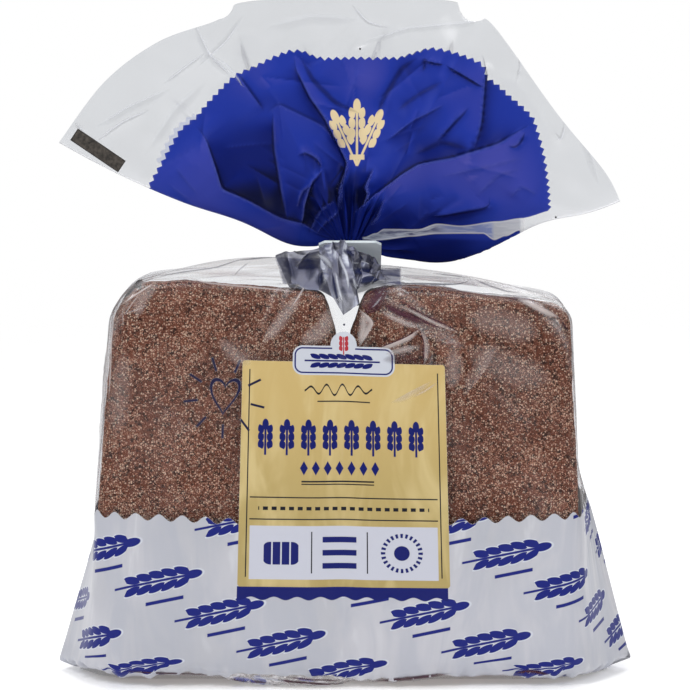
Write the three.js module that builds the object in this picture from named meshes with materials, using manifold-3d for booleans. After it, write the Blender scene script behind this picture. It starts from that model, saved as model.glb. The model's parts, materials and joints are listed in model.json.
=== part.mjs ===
// A clear bread bag, packed with two stacks of flat sandwich breads. It stands on its base,
// is gathered into a neck above the bread, shut with a flat plastic clip, and flares out
// above the clip into an open-topped fan of film. Millimetres, +Z up, front towards -Y,
// origin on the floor under the middle of the pack.
import * as THREE from 'three';
import { mergeVertices } from 'three/addons/utils/BufferGeometryUtils.js';
import Module from 'manifold-3d';

// The bread block that the film is stretched round.
const blockLeft = 87.3;          // from the middle to the left side, at the foot
const blockRight = 82.2;
const blockHalfDepth = 32.4;
const blockHeight = 137;
const topSlope = 0.00022;        // the right stack is a little lower than the left one
const leftLean = 0.085;          // how fast the left side comes in above leanFrom
const rightLean = 0.05;
const leanFrom = 60;
const leftTopCorner = 13;        // radii of the outer top corners, seen from the front
const rightTopCorner = 8;
const topEdgeRadius = 6;         // of the front and back top edges, seen from the side
const footRadius = 3;
const cornerRadius = 7;          // of the upright edges, seen from above
const footCornerRadius = 15;     // of the same edges at the floor
const faceBulge = 1.6;           // how far the broad faces swell out
const grooveDepth = 1.4;         // of the shallow valley between the two stacks
const grooveWidth = 7;
const grooveX = -1;

// The ears, where the side folds of the film stand out at the bottom corners.
const earTip = 102.5;
const earTipHeight = 3;
const earFoot = 0.8;             // how much of the ear already stands out at the floor
const leftEarTop = 54;
const rightEarTop = 80;

// The neck and the roof of film that climbs to it.
const neckX = 1.8;
const neckRadiusX = 4.2;
const neckRadiusY = 3.8;
const neckBottom = 145.5;
const neckTop = 153;
const leftPuff = 4.2;            // how far the ridge of the roof stands up on either side
const rightPuff = 1.5;
const ridgeSharpness = 4;
const ridgeClimb = 0.8;          // how the film climbs to the neck: early along the ridge,
const slopeClimb = 2.8;          // late in front and behind
const roofFolds = 9;
const roofFoldHeight = 0.7;

// The clip: a flat square with a round hole for the neck and a slot that leads to it.
const clipSize = 22;
const clipThickness = 0.9;
const clipCornerCut = 2;
const clipHoleRadius = 5.2;
const clipSlotHalfWidth = 1.3;
const clipHeight = 148.8;
const clipTilt = THREE.MathUtils.degToRad(-31);

// The flare: its open edge, from the left tip over the top to the right tip, as x and z.
const mouthEdge = [
  [-101, 191],
  [-85, 211.4],
  [-66, 224.4],
  [-45, 231.8],
  [-38, 237.6],
  [-19, 239.5],
  [0, 240],
  [20, 239.6],
  [39, 238.2],
  [46, 232.6],
  [52.5, 229.4],
  [74.5, 199.4],
  [91.5, 178.8],
  [97.3, 168],
];
const leftFold = { sag: 10, bowAt: 0.55 };    // how far the lower edges bow down between
const rightFold = { sag: 19, bowAt: 0.36 };   // neck and tip, and where along the way
const flareHalfDepth = 8;
const mouthHalfDepth = 5;
const openedBy = 0.3;            // the share of the way out at which the fan is fully open
const waveDepth = 4;             // the slow wave that both layers share
const waveCount = 2.2;
const waveStart = 0.15;
const pleatDepth = 1.8;          // the sharper pleats of each layer, deepest at pleatPeak
const pleatPeak = 0.31;
const frontPleats = 7;
const backPleats = 5.5;

// The two round holes at the open edge, through both layers of film.
const holeRadius = 5.8;
const holes = [[-44.8, 238], [45.7, 237.2]];

// Points along one half of a ring: side, corner, face, corner, side.
const divisions = [3, 3, 28, 3, 3];
const halfCount = divisions.reduce((sum, n) => sum + n, 0);
const ringCount = 2 * halfCount;

const bodyHeights = [0, 1.4, 3, 8, 20, 32, 43, 54, 67, 80, 93, 105, 115, 122, 127, 131, 134.4, 136.4, 137];
const roofSteps = [0.1, 0.22, 0.36, 0.5, 0.64, 0.77, 0.88, 0.95];
const neckHeights = [neckBottom, 148, 150.5, neckTop];
const flareSteps = [0.035, 0.08, 0.14, 0.21, 0.3, 0.4, 0.5, 0.6, 0.7, 0.8, 0.9, 1];

function circleInset(radius, distance) {
  // How far a quarter round of this radius has come in, distance past its start.
  const along = THREE.MathUtils.clamp(distance, 0, radius);
  return radius - Math.sqrt(radius * radius - along * along);
}

function earReach(z, top, side) {
  if (z < earTipHeight) return (earTip - side) * THREE.MathUtils.lerp(earFoot, 1, z / earTipHeight);
  return (earTip - side) * THREE.MathUtils.clamp((top - z) / (top - earTipHeight), 0, 1);
}

function blockSection(z) {
  const lean = Math.max(0, z - leanFrom);
  const leftTop = circleInset(leftTopCorner, z - (blockHeight - leftTopCorner));
  const rightTop = circleInset(rightTopCorner, z - (blockHeight - rightTopCorner));
  const foot = circleInset(footRadius, footRadius - z);
  const edge = circleInset(topEdgeRadius, z - (blockHeight - topEdgeRadius));
  return {
    left: blockLeft - leftLean * lean - leftTop - foot,
    right: blockRight - rightLean * lean - rightTop - foot,
    depth: blockHalfDepth - edge - foot,
    leftEar: earReach(z, leftEarTop, blockLeft),
    rightEar: earReach(z, rightEarTop, blockRight),
    corner: THREE.MathUtils.lerp(footCornerRadius, cornerRadius, THREE.MathUtils.smoothstep(z, 0, 30)),
    firm: THREE.MathUtils.smoothstep(z, 0, 25) * (1 - THREE.MathUtils.smoothstep(z, 115, 137)),
  };
}

function halfSection(section) {
  // The front half of the film seen from above, from the left fold to the right fold.
  const leftCorner = new THREE.Vector2(-section.left, -section.depth);
  const rightCorner = new THREE.Vector2(section.right, -section.depth);
  const leftFold = new THREE.Vector2(-section.left - section.leftEar, 0);
  const rightFold = new THREE.Vector2(section.right + section.rightEar, 0);
  const before = (corner, end) => corner.clone().add(end.clone().sub(corner).setLength(section.corner));
  const a = before(leftCorner, leftFold);
  const b = before(leftCorner, rightCorner);
  const c = before(rightCorner, leftCorner);
  const d = before(rightCorner, rightFold);
  const curves = [
    new THREE.LineCurve(leftFold, a),
    new THREE.QuadraticBezierCurve(a, leftCorner, b),
    new THREE.LineCurve(b, c),
    new THREE.QuadraticBezierCurve(c, rightCorner, d),
    new THREE.LineCurve(d, rightFold),
  ];
  const points = [leftFold];
  curves.forEach((curve, k) => points.push(...curve.getPoints(divisions[k]).slice(1)));
  return points;
}

function faceRelief(x, section) {
  const across = (x + (section.left - section.right) / 2) / ((section.left + section.right) / 2);
  const swell = faceBulge * Math.max(0, 1 - across ** 4);
  const groove = grooveDepth * Math.exp(-(((x - grooveX) / grooveWidth) ** 2));
  return (swell - groove) * section.firm;
}

function mirrorRing(front) {
  // Adds the back half, which is the front half seen in a mirror.
  const back = front.slice(1, -1).reverse().map((p) => new THREE.Vector3(p.x, -p.y, p.z));
  return [...front, ...back];
}

function bodyRing(z) {
  const section = blockSection(z);
  const front = halfSection(section).map((p) => {
    const onFace = Math.min(1, Math.max(0, (-p.y - section.depth + 2) / 2));
    return new THREE.Vector3(p.x, p.y - faceRelief(p.x, section) * onFace, z * (1 - topSlope * p.x));
  });
  return mirrorRing(front);
}

function neckRing(z) {
  const ring = [];
  for (let i = 0; i < ringCount; i++) {
    const turn = (Math.PI * i) / halfCount;
    ring.push(new THREE.Vector3(neckX - neckRadiusX * Math.cos(turn), -neckRadiusY * Math.sin(turn), z));
  }
  return ring;
}

function roofRing(step) {
  // The film between the top edge of the block and the foot of the neck.
  const edge = bodyRing(blockHeight);
  const neck = neckRing(neckBottom);
  return edge.map((from, i) => {
    const to = neck[i];
    const p = from.clone().lerp(to, step);
    const sideways = Math.cos((Math.PI * i) / halfCount) ** ridgeSharpness;
    const climb = step ** THREE.MathUtils.lerp(slopeClimb, ridgeClimb, sideways);
    const puff = (from.x < 0 ? leftPuff : rightPuff) * sideways * Math.sin(Math.PI * step);
    const fold = roofFoldHeight * Math.sin(Math.PI * step) *
      Math.cos((2 * Math.PI * roofFolds * i) / ringCount);
    p.z = THREE.MathUtils.lerp(from.z, to.z, climb) + puff + fold;
    return p;
  });
}

const mouth = new THREE.SplineCurve(mouthEdge.map(([x, z]) => new THREE.Vector2(x, z)));
const root = new THREE.Vector2(neckX, neckTop);

function flareLine(share) {
  // From the neck to the open edge, bowed down most at the two folds.
  const end = mouth.getPoint(share);
  const rightward = THREE.MathUtils.smoothstep(share, 0.25, 0.75);
  const middle = root.clone().lerp(end, THREE.MathUtils.lerp(leftFold.bowAt, rightFold.bowAt, rightward));
  const sag = share < 0.5 ? leftFold.sag : rightFold.sag;
  middle.y -= sag * Math.abs(2 * share - 1) ** 3;
  return new THREE.QuadraticBezierCurve(root, middle, end);
}

function flareRing(step) {
  const neck = neckRing(neckTop);
  const depth = THREE.MathUtils.lerp(flareHalfDepth, mouthHalfDepth, step ** 2);
  const opened = THREE.MathUtils.smoothstep(step, 0, openedBy);
  const pleatGrowth = Math.sin((Math.PI / 2) * Math.min(2, step / pleatPeak));
  const grip = (1 - step) ** 6;
  return neck.map((start, i) => {
    const share = (i <= halfCount ? i : ringCount - i) / halfCount;
    const side = i <= halfCount ? -1 : 1;
    const p = flareLine(share).getPoint(step);
    const swell = Math.sin(Math.PI * share) ** THREE.MathUtils.lerp(1, 0.5, opened);
    const halfDepth = THREE.MathUtils.lerp(neckRadiusY, depth, opened);
    const turn = 2 * Math.PI * (waveCount * share + waveStart);
    const wave = waveDepth * opened * Math.sin(turn) * Math.sin(Math.PI * share);
    const pleats = side < 0 ? frontPleats : backPleats;
    const pleat = pleatDepth * swell * pleatGrowth * Math.cos(2 * Math.PI * pleats * share);
    return new THREE.Vector3(
      p.x + (start.x - neckX) * grip,
      side * (halfDepth * swell + pleat) + wave,
      p.y,
    );
  });
}

function loft(rings) {
  // One closed skin: flat base, walls from ring to ring, and a strip across the open edge.
  const positions = [];
  const faces = [];
  const put = (p) => positions.push(p.x, p.y, p.z) / 3 - 1;
  const rows = rings.map((ring) => ring.map(put));
  const foot = rows[0];
  const middle = put(new THREE.Vector3(0, 0, rings[0][0].z));
  for (let i = 0; i < ringCount; i++) faces.push(middle, foot[(i + 1) % ringCount], foot[i]);
  for (let k = 0; k + 1 < rows.length; k++) {
    const [low, high] = [rows[k], rows[k + 1]];
    for (let i = 0; i < ringCount; i++) {
      const j = (i + 1) % ringCount;
      faces.push(low[i], low[j], high[j], low[i], high[j], high[i]);
    }
  }
  const rim = rows[rows.length - 1];
  for (let i = 0; i < halfCount; i++) {
    const [f, g] = [rim[i], rim[i + 1]];
    const [b, c] = [rim[(ringCount - i) % ringCount], rim[ringCount - i - 1]];
    if (g !== c) faces.push(f, g, c);
    if (f !== b) faces.push(f, c, b);
  }
  const geometry = new THREE.BufferGeometry();
  geometry.setAttribute('position', new THREE.Float32BufferAttribute(positions, 3));
  geometry.setIndex(faces);
  geometry.computeVertexNormals();
  return geometry;
}

function toManifold(wasm, geometry) {
  const bare = geometry.clone();
  bare.deleteAttribute('normal');
  bare.deleteAttribute('uv');
  const merged = mergeVertices(bare, 1e-4);
  return new wasm.Manifold(new wasm.Mesh({
    numProp: 3,
    vertProperties: new Float32Array(merged.attributes.position.array),
    triVerts: new Uint32Array(merged.index.array),
  }));
}

function toGeometry(solid) {
  const mesh = solid.getMesh();
  const geometry = new THREE.BufferGeometry();
  geometry.setAttribute('position', new THREE.Float32BufferAttribute(mesh.vertProperties, 3));
  geometry.setIndex(Array.from(mesh.triVerts));
  geometry.computeVertexNormals();
  return geometry;
}

function punch([x, z]) {
  const geometry = new THREE.CylinderGeometry(holeRadius, holeRadius, 6 * flareHalfDepth, 24);
  return geometry.translate(x, 0, -z).rotateX(Math.PI);
}

function makeBag(wasm) {
  const rings = [
    ...bodyHeights.map(bodyRing),
    ...roofSteps.map(roofRing),
    ...neckHeights.map(neckRing),
    ...flareSteps.map(flareRing),
  ];
  const film = new THREE.MeshStandardMaterial({ color: 0x7a5a4e, roughness: 0.35, metalness: 0 });
  const whole = toManifold(wasm, loft(rings));
  const punched = holes.reduce((solid, hole) => solid.subtract(toManifold(wasm, punch(hole))), whole);
  const bag = new THREE.Mesh(toGeometry(punched), film);
  bag.name = 'bag';
  return bag;
}

function clipOutline() {
  const half = clipSize / 2;
  const cut = half - clipCornerCut;
  const slotAngle = Math.asin(clipSlotHalfWidth / clipHoleRadius);
  const outline = new THREE.Shape();
  outline.moveTo(clipSlotHalfWidth, half);
  outline.lineTo(clipSlotHalfWidth, clipHoleRadius * Math.cos(slotAngle));
  outline.absarc(0, 0, clipHoleRadius, Math.PI / 2 - slotAngle, Math.PI / 2 + slotAngle, true);
  outline.lineTo(-clipSlotHalfWidth, half);
  outline.lineTo(-cut, half);
  outline.lineTo(-half, cut);
  outline.lineTo(-half, -cut);
  outline.lineTo(-cut, -half);
  outline.lineTo(cut, -half);
  outline.lineTo(half, -cut);
  outline.lineTo(half, cut);
  outline.lineTo(cut, half);
  outline.closePath();
  return outline;
}

function makeClip() {
  const plate = new THREE.ExtrudeGeometry(clipOutline(), {
    depth: clipThickness,
    bevelEnabled: false,
    curveSegments: 28,
  });
  plate.translate(0, 0, -clipThickness / 2);
  plate.deleteAttribute('normal');
  plate.deleteAttribute('uv');
  const plastic = new THREE.MeshStandardMaterial({ color: 0xaab4b4, roughness: 0.4, metalness: 0 });
  const clip = new THREE.Mesh(mergeVertices(plate, 1e-4), plastic);
  clip.name = 'clip';
  clip.position.set(neckX, 0, clipHeight);
  clip.rotation.x = clipTilt;
  return clip;
}

const wasm = await Module();
wasm.setup();
const pack = new THREE.Group();
pack.add(makeBag(wasm), makeClip());

export default pack;
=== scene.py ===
import json
import math

import bpy
import numpy as np
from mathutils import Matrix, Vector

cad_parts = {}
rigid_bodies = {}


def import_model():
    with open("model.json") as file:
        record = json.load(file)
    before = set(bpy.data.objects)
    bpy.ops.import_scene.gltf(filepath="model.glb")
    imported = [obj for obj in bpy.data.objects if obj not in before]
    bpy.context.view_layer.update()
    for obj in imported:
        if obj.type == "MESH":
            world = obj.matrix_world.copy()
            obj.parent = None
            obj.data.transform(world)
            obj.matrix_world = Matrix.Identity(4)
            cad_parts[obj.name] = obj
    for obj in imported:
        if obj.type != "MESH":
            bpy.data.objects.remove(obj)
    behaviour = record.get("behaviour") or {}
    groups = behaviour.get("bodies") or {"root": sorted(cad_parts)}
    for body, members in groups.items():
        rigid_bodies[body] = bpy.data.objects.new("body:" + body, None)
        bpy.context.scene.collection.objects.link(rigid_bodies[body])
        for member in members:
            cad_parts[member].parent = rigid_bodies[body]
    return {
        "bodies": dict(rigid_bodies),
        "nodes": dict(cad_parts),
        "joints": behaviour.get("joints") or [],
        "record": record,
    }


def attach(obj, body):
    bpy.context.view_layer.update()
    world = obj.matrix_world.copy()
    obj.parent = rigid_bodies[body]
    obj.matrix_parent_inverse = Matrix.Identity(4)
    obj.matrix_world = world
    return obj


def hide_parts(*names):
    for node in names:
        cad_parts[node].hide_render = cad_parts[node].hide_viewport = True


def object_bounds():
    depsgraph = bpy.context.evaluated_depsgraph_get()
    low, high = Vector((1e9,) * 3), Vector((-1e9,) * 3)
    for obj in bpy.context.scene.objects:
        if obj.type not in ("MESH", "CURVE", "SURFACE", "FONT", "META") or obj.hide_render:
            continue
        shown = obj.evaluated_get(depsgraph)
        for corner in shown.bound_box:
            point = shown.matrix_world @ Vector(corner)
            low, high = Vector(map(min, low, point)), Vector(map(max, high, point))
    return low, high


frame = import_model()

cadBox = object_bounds()
mm = 0.001


# the viewpoint, which the folds of the film are laid out for
view = {
    "distance": 1.2,
    "elevation": 6,
    "aimHeight": 117 * mm,
    "field": 245 * mm,
}


def smooth(low, high, x):
    t = np.clip((x - low) / (high - low), 0, 1)
    return t * t * (3 - 2 * t)


def blend(a, b, t):
    return a + (b - a) * t


def bell(x, width):
    return np.exp(-((x / width) ** 2))


def clearSelection():
    bpy.ops.object.select_all(action="DESELECT")


def ripples(x, y, shortest, longest, count, seed):
    # a sum of plane waves in random directions, about -1 to 1
    draw = np.random.default_rng(seed)
    total = np.zeros(np.broadcast(x, y).shape)
    for _ in range(count):
        length = shortest * (longest / shortest) ** draw.random()
        turn = draw.random() * math.tau
        phase = draw.random() * math.tau
        total += np.sin(math.tau * (x * math.cos(turn) + y * math.sin(turn)) / length + phase)
    return total / math.sqrt(count)


creaseShape = {
    "taper": 0.22,             # of a fold's length, at both ends
    "softSide": 0.3 * mm,
    "lineWidth": 0.4 * mm,
}


def creases(x, y, folds):
    # folds with a sharp crest along bent lines: points, height, width to the left and to the right, and how
    # much painted light (above 0) or painted shade (below 0) the film gets to the left and to the right
    ending, soft = creaseShape["taper"], creaseShape["softSide"]
    relief = np.zeros(x.shape)
    line = np.zeros(x.shape)
    paintedLight = np.zeros(x.shape)
    for points, height, wideLeft, wideRight, paintedLightLeft, paintedLightRight in folds:
        points = np.array(points)
        lengths = np.linalg.norm(np.diff(points, axis=0), axis=1)
        run = np.concatenate([[0], np.cumsum(lengths)]) / lengths.sum()
        nearest = np.full(x.shape, 1e9)
        side = np.zeros(x.shape)
        share = np.zeros(x.shape)
        for k, length in enumerate(lengths):
            (x0, y0), (x1, y1) = points[k], points[k + 1]
            dx, dy = (x1 - x0) / length, (y1 - y0) / length
            along = (x - x0) * dx + (y - y0) * dy
            cross = (y - y0) * dx - (x - x0) * dy
            held = np.clip(along, 0, length)
            away = np.hypot(x - x0 - held * dx, y - y0 - held * dy)
            closer = away < nearest
            nearest = np.where(closer, away, nearest)
            side = np.where(closer, cross, side)
            share = np.where(closer, run[k] + (run[k + 1] - run[k]) * held / length, share)
        onLeft = smooth(-soft, soft, side)
        width = blend(wideRight, wideLeft, onLeft)
        taper = smooth(0, ending, share) * smooth(0, ending, 1 - share)
        relief += height * taper * np.exp(-nearest / width)
        crest = bell(nearest, creaseShape["lineWidth"])
        line = np.maximum(line, min(1, abs(height) / mm) * taper * crest)
        paintedLight += blend(paintedLightRight, paintedLightLeft, onLeft) * taper * np.exp(-nearest / width)
    return relief, line, paintedLight


weldDistance = 0.002 * mm


def readAll(items, field, width, kind=float):
    values = np.empty(len(items) * width, kind)
    items.foreach_get(field, values)
    return values.reshape(-1, width)


def gridPiece(name, columns, rows, place, maps, marks):
    # a flat grid of film, rolled into its place: place, maps and marks are arrays of rows x columns
    clearSelection()
    bpy.ops.mesh.primitive_grid_add(x_subdivisions=columns - 1, y_subdivisions=rows - 1, size=2)
    piece = bpy.context.object
    piece.name = piece.data.name = name
    mesh = piece.data
    flat = readAll(mesh.vertices, "co", 3)
    column = np.rint((flat[:, 0] + 1) / 2 * (columns - 1)).astype(int)
    row = np.rint((flat[:, 1] + 1) / 2 * (rows - 1)).astype(int)
    mesh.vertices.foreach_set("co", place[row, column].ravel())
    corner = readAll(mesh.loops, "vertex_index", 1, int)[:, 0]
    for label, values in maps.items():
        layer = mesh.uv_layers.get(label) or mesh.uv_layers.new(name=label)
        layer.uv.foreach_set("vector", values[row, column][corner].ravel())
    if "UVMap" in mesh.uv_layers:
        mesh.uv_layers.remove(mesh.uv_layers["UVMap"])
    for label, values in marks.items():
        mark = mesh.attributes.new(label, "FLOAT", "POINT")
        mark.data.foreach_set("value", values[row, column].ravel())
    mesh.update()
    bpy.ops.object.mode_set(mode="EDIT")
    bpy.ops.mesh.select_all(action="SELECT")
    bpy.ops.mesh.remove_doubles(threshold=weldDistance)
    bpy.ops.object.mode_set(mode="OBJECT")
    bpy.ops.object.shade_smooth()
    return piece


def bothSides(operation):
    # an operator's two methods, for a wire on its left and for one on its right
    def onLeft(self, other):
        return self.math(operation, self, other)

    def onRight(self, other):
        return self.math(operation, other, self)

    return onLeft, onRight


class Wire:
    # one socket of a node tree; sums and products of wires add Math nodes
    def __init__(self, tree, socket=None):
        self.tree = tree
        self.socket = socket

    def node(self, kind, settings=None, inputs=None, out=0):
        made = self.tree.nodes.new("ShaderNode" + kind)
        for key, value in (settings or {}).items():
            setattr(made, key, value)
        for key, value in (inputs or {}).items():
            if isinstance(value, Wire):
                self.tree.links.new(value.socket, made.inputs[key])
            else:
                made.inputs[key].default_value = value
        return Wire(self.tree, made.outputs[out])

    def output(self, number):
        # another output of the same node
        return Wire(self.tree, self.socket.node.outputs[number])

    def math(self, operation, *values, clamp=False):
        settings = {"operation": operation, "use_clamp": clamp}
        return self.node("Math", settings, dict(enumerate(values)))

    __add__, __radd__ = bothSides("ADD")
    __sub__, __rsub__ = bothSides("SUBTRACT")
    __mul__, __rmul__ = bothSides("MULTIPLY")
    __truediv__, _ = bothSides("DIVIDE")
    __pow__, _ = bothSides("POWER")
    least, _ = bothSides("MINIMUM")
    most, _ = bothSides("MAXIMUM")

    def __abs__(self):
        return self.math("ABSOLUTE", self)

    def above(self, edge, soft=0.1):
        # 0 below the edge and 1 above it, over a soft border
        return self.math("MULTIPLY_ADD", self - edge, 1 / soft, 0.5, clamp=True)

    def below(self, edge, soft=0.1):
        return self.math("MULTIPLY_ADD", self - edge, -1 / soft, 0.5, clamp=True)

    def within(self, half, soft=0.1):
        # 1 from -half to half
        return abs(self).below(half, soft)

    def between(self, low, high, soft=0.1):
        return self.above(low, soft) * self.below(high, soft)

    def wrap(self, half):
        # repeats from -half to half
        return self.math("WRAP", self, half, -half)

    def fade(self, low, high):
        settings = {"interpolation_type": "SMOOTHSTEP", "clamp": True}
        return self.node("MapRange", settings, {0: self, 1: low, 2: high, 3: 0.0, 4: 1.0})

    def follow(self, points):
        # a smooth curve through points of this wire's value and the value wanted there
        value = points[0][1]
        for (a, valueA), (b, valueB) in zip(points, points[1:]):
            value = value + (valueB - valueA) * self.fade(a, b)
        return value

    def tint(self, first, second):
        # a colour that goes from first to second as this wire goes from 0 to 1
        return self.node("Mix", {"data_type": "RGBA"}, {0: self, 6: first, 7: second}, out=2)


def colour(red, green, blue):
    # a colour as a painter reads it, 0 to 255, made linear
    def straight(v):
        v /= 255
        return v / 12.92 if v <= 0.04045 else ((v + 0.055) / 1.055) ** 2.4
    return (straight(red), straight(green), straight(blue), 1.0)


def newMaterial(name):
    material = bpy.data.materials.new(name)
    material.use_nodes = True
    material.node_tree.nodes.clear()
    return material, Wire(material.node_tree)


def shaderOutput(start, shader, kind="OutputMaterial"):
    ending = start.tree.nodes.new("ShaderNode" + kind)
    start.tree.links.new(shader.socket, ending.inputs["Surface"])


def objectPlace(start):
    return start.node("TexCoord", out=3)


def attribute(start, name):
    return start.node("Attribute", {"attribute_name": name}, out=2)


def joined(start, x, y, z=0.0):
    return start.node("CombineXYZ", {}, {0: x, 1: y, 2: z})


def noise(start, place, scale, detail=2.0, roughness=0.5, distortion=0.0):
    inputs = {"Vector": place, "Scale": scale, "Detail": detail}
    inputs.update({"Roughness": roughness, "Distortion": distortion})
    return start.node("TexNoise", {}, inputs)


def paint(piece, material):
    piece.data.materials.clear()
    piece.data.materials.append(material)


# the shape of the pack, as its solids have it

pack = {
    "left": 87.3 * mm,
    "right": 82.2 * mm,
    "halfDepth": 32.4 * mm,
    "height": 137 * mm,
    "topSlope": 0.22,          # per metre: the right stack is a little lower
    "leftLean": 0.085,
    "rightLean": 0.05,
    "leanFrom": 60 * mm,
    "leftTopCorner": 13 * mm,
    "rightTopCorner": 8 * mm,
    "topEdge": 6 * mm,
    "foot": 4.5 * mm,
    "corner": 7 * mm,
    "footCorner": 15 * mm,
    "cornerFrom": 30 * mm,     # up to here the round corner at the foot narrows to the wall's
    "firmFrom": 25 * mm,       # the film lies firm on the breads between these heights
    "firmTo": 115 * mm,
    "crownFrom": 121 * mm,     # the breads' tops lift the film between these heights
    "crownTo": 136 * mm,
    "bulge": 1.6 * mm,
    "groove": 1.4 * mm,
    "grooveWidth": 7 * mm,
    "grooveX": -1 * mm,
    "earTip": cadBox[1].x,
    "earTipHeight": 3 * mm,
    "earFoot": 0.8,
    "leftEarTop": 54 * mm,
    "rightEarTop": 80 * mm,
}

film = {
    "girth": 500 * mm,         # round the bag, laid flat twice 250
    "columns": 420,
    "flatFace": 76 * mm,       # so far from the middle of a face the film lies true
}


def inset(radius, distance):
    along = np.clip(distance, 0, radius)
    return radius - math.sqrt(radius * radius - along * along)


def earReach(z, top, side):
    reach = pack["earTip"] - side
    if z < pack["earTipHeight"]:
        return reach * blend(pack["earFoot"], 1, z / pack["earTipHeight"])
    return reach * min(max((top - z) / (top - pack["earTipHeight"]), 0), 1)


def blockSection(z):
    lean = max(0, z - pack["leanFrom"])
    footInset = inset(pack["foot"], pack["foot"] - z)
    rim = inset(pack["topEdge"], z - (pack["height"] - pack["topEdge"])) + footInset
    leftShrink, rightShrink = (
        inset(pack[corner], z - (pack["height"] - pack[corner])) + footInset
        for corner in ("leftTopCorner", "rightTopCorner"))
    return {
        "left": pack["left"] - pack["leftLean"] * lean - leftShrink,
        "right": pack["right"] - pack["rightLean"] * lean - rightShrink,
        "depth": pack["halfDepth"] - rim,
        "leftEar": earReach(z, pack["leftEarTop"], pack["left"]),
        "rightEar": earReach(z, pack["rightEarTop"], pack["right"]),
        "corner": blend(pack["footCorner"], pack["corner"], smooth(0, pack["cornerFrom"], z)),
        "firm": smooth(0, pack["firmFrom"], z) * (1 - smooth(pack["firmTo"], pack["height"], z)),
    }


sectionPoints = {"side": 30, "corner": 20, "face": 160}


def halfSection(section):
    # the front half of the film from above, as points from the left fold to the right fold
    leftCorner = np.array([-section["left"], -section["depth"]])
    rightCorner = np.array([section["right"], -section["depth"]])
    leftFold = np.array([-section["left"] - section["leftEar"], 0.0])
    rightFold = np.array([section["right"] + section["rightEar"], 0.0])

    def before(corner, end):
        return corner + (end - corner) * section["corner"] / np.linalg.norm(end - corner)

    def straight(a, b, count):
        return a + (b - a) * np.linspace(0, 1, count)[:, None]

    def rounded(a, corner, b, count):
        t = np.linspace(0, 1, count)[:, None]
        return (1 - t) ** 2 * a + 2 * t * (1 - t) * corner + t**2 * b

    a, b = before(leftCorner, leftFold), before(leftCorner, rightCorner)
    c, d = before(rightCorner, leftCorner), before(rightCorner, rightFold)
    return np.concatenate([
        straight(leftFold, a, sectionPoints["side"]),
        rounded(a, leftCorner, b, sectionPoints["corner"])[1:],
        straight(b, c, sectionPoints["face"])[1:],
        rounded(c, rightCorner, d, sectionPoints["corner"])[1:],
        straight(d, rightFold, sectionPoints["side"])[1:],
    ])


def sampleHalf(section, u):
    # points of the half ring at film distances u from the middle of the face
    line = halfSection(section)
    run = np.concatenate([[0], np.cumsum(np.linalg.norm(np.diff(line, axis=0), axis=1))])
    middle = np.interp(0, line[:, 0], run)
    quarter, flat = film["girth"] / 4, film["flatFace"]
    along = np.abs(u)
    total = np.where(u < 0, middle, run[-1] - middle)
    stretched = np.where(along < flat, along, flat + (along - flat) * (total - flat) / (quarter - flat))
    run0 = middle + np.sign(u) * stretched
    return np.stack([np.interp(run0, run, line[:, 0]), np.interp(run0, run, line[:, 1])], -1)


def faceRelief(x, section):
    middle = (section["right"] - section["left"]) / 2
    half = (section["left"] + section["right"]) / 2
    swell = pack["bulge"] * np.maximum(0, 1 - ((x - middle) / half) ** 4)
    groove = pack["groove"] * bell(x - pack["grooveX"], pack["grooveWidth"])
    return (swell - groove) * section["firm"]


def foldOver(u):
    # film distance on the near face, and 1 in front or -1 behind
    quarter = film["girth"] / 4
    side = np.where(np.abs(u) <= quarter, 1.0, -1.0)
    near = np.where(u < -quarter, -2 * quarter - u, np.where(u > quarter, 2 * quarter - u, u))
    return near, side


# how much the tops of the breads lift the film along the pack, x and mm
crownLift = [
    (-84, 0), (-76, 0.6), (-68, 2.2), (-56, 3.4), (-35, 3.2), (-20, 2.6), (-8, 0.6), (-2, 0),
    (5, 0.8), (12, 3.0), (22, 3.4), (43, 2.6), (52, 1.6), (60, 0.8), (72, -0.6), (80, -0.4),
]


def heightAlong(points, x):
    # the value at x on straight lines through points that are given in mm
    return np.interp(x, *(np.array(list(zip(*points))) * mm))


def bodyRing(z, u):
    section = blockSection(z)
    near, side = foldOver(u)
    flat = sampleHalf(section, near)
    onFace = np.clip((-flat[:, 1] - section["depth"] + 2 * mm) / (2 * mm), 0, 1)
    y = flat[:, 1] - faceRelief(flat[:, 0], section) * onFace
    lift = heightAlong(crownLift, flat[:, 0]) * smooth(pack["crownFrom"], pack["crownTo"], z)
    return np.stack([flat[:, 0], y * side, z * (1 - pack["topSlope"] * flat[:, 0]) + lift], -1)


neck = {
    "x": 1.8 * mm,
    "radiusX": 4.2 * mm,
    "radiusY": 3.8 * mm,
    "bottom": 145.5 * mm,
    "waist": 149 * mm,         # where the body film and the fan film meet, inside the clip
    "top": 153 * mm,
    "leftPuff": 4.2 * mm,
    "rightPuff": 1.5 * mm,
    "ridgeSharpness": 4,
    "ridgeClimb": 0.8,
    "slopeClimb": 2.8,
    "pleats": 23,
    "pleatDepth": 0.22,        # of the neck's radius
}


# how unevenly the pleats stand round the neck: size, waves and start
pleatSway = [(1.3, 3, 0.7), (0.9, 7, 2.1)]


def pleatPhase(u):
    s = u / film["girth"]
    sway = sum(size * np.sin(math.tau * waves * s + begin) for size, waves, begin in pleatSway)
    return math.tau * neck["pleats"] * s + sway


def neckRing(z, u):
    turn = math.pi * (0.5 + 2 * u / film["girth"])
    star = 1 + neck["pleatDepth"] * (np.cos(pleatPhase(u)) - 1)
    x = neck["x"] - neck["radiusX"] * np.cos(turn) * star
    y = -neck["radiusY"] * np.sin(turn) * star
    return np.stack([x, y, np.full(u.shape, z)], -1)


def gridNormals(place):
    across = np.gradient(place, axis=1)
    up = np.gradient(place, axis=0)
    normal = np.cross(across, up)
    return normal / np.maximum(np.linalg.norm(normal, axis=-1, keepdims=True), 1e-12)


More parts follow.
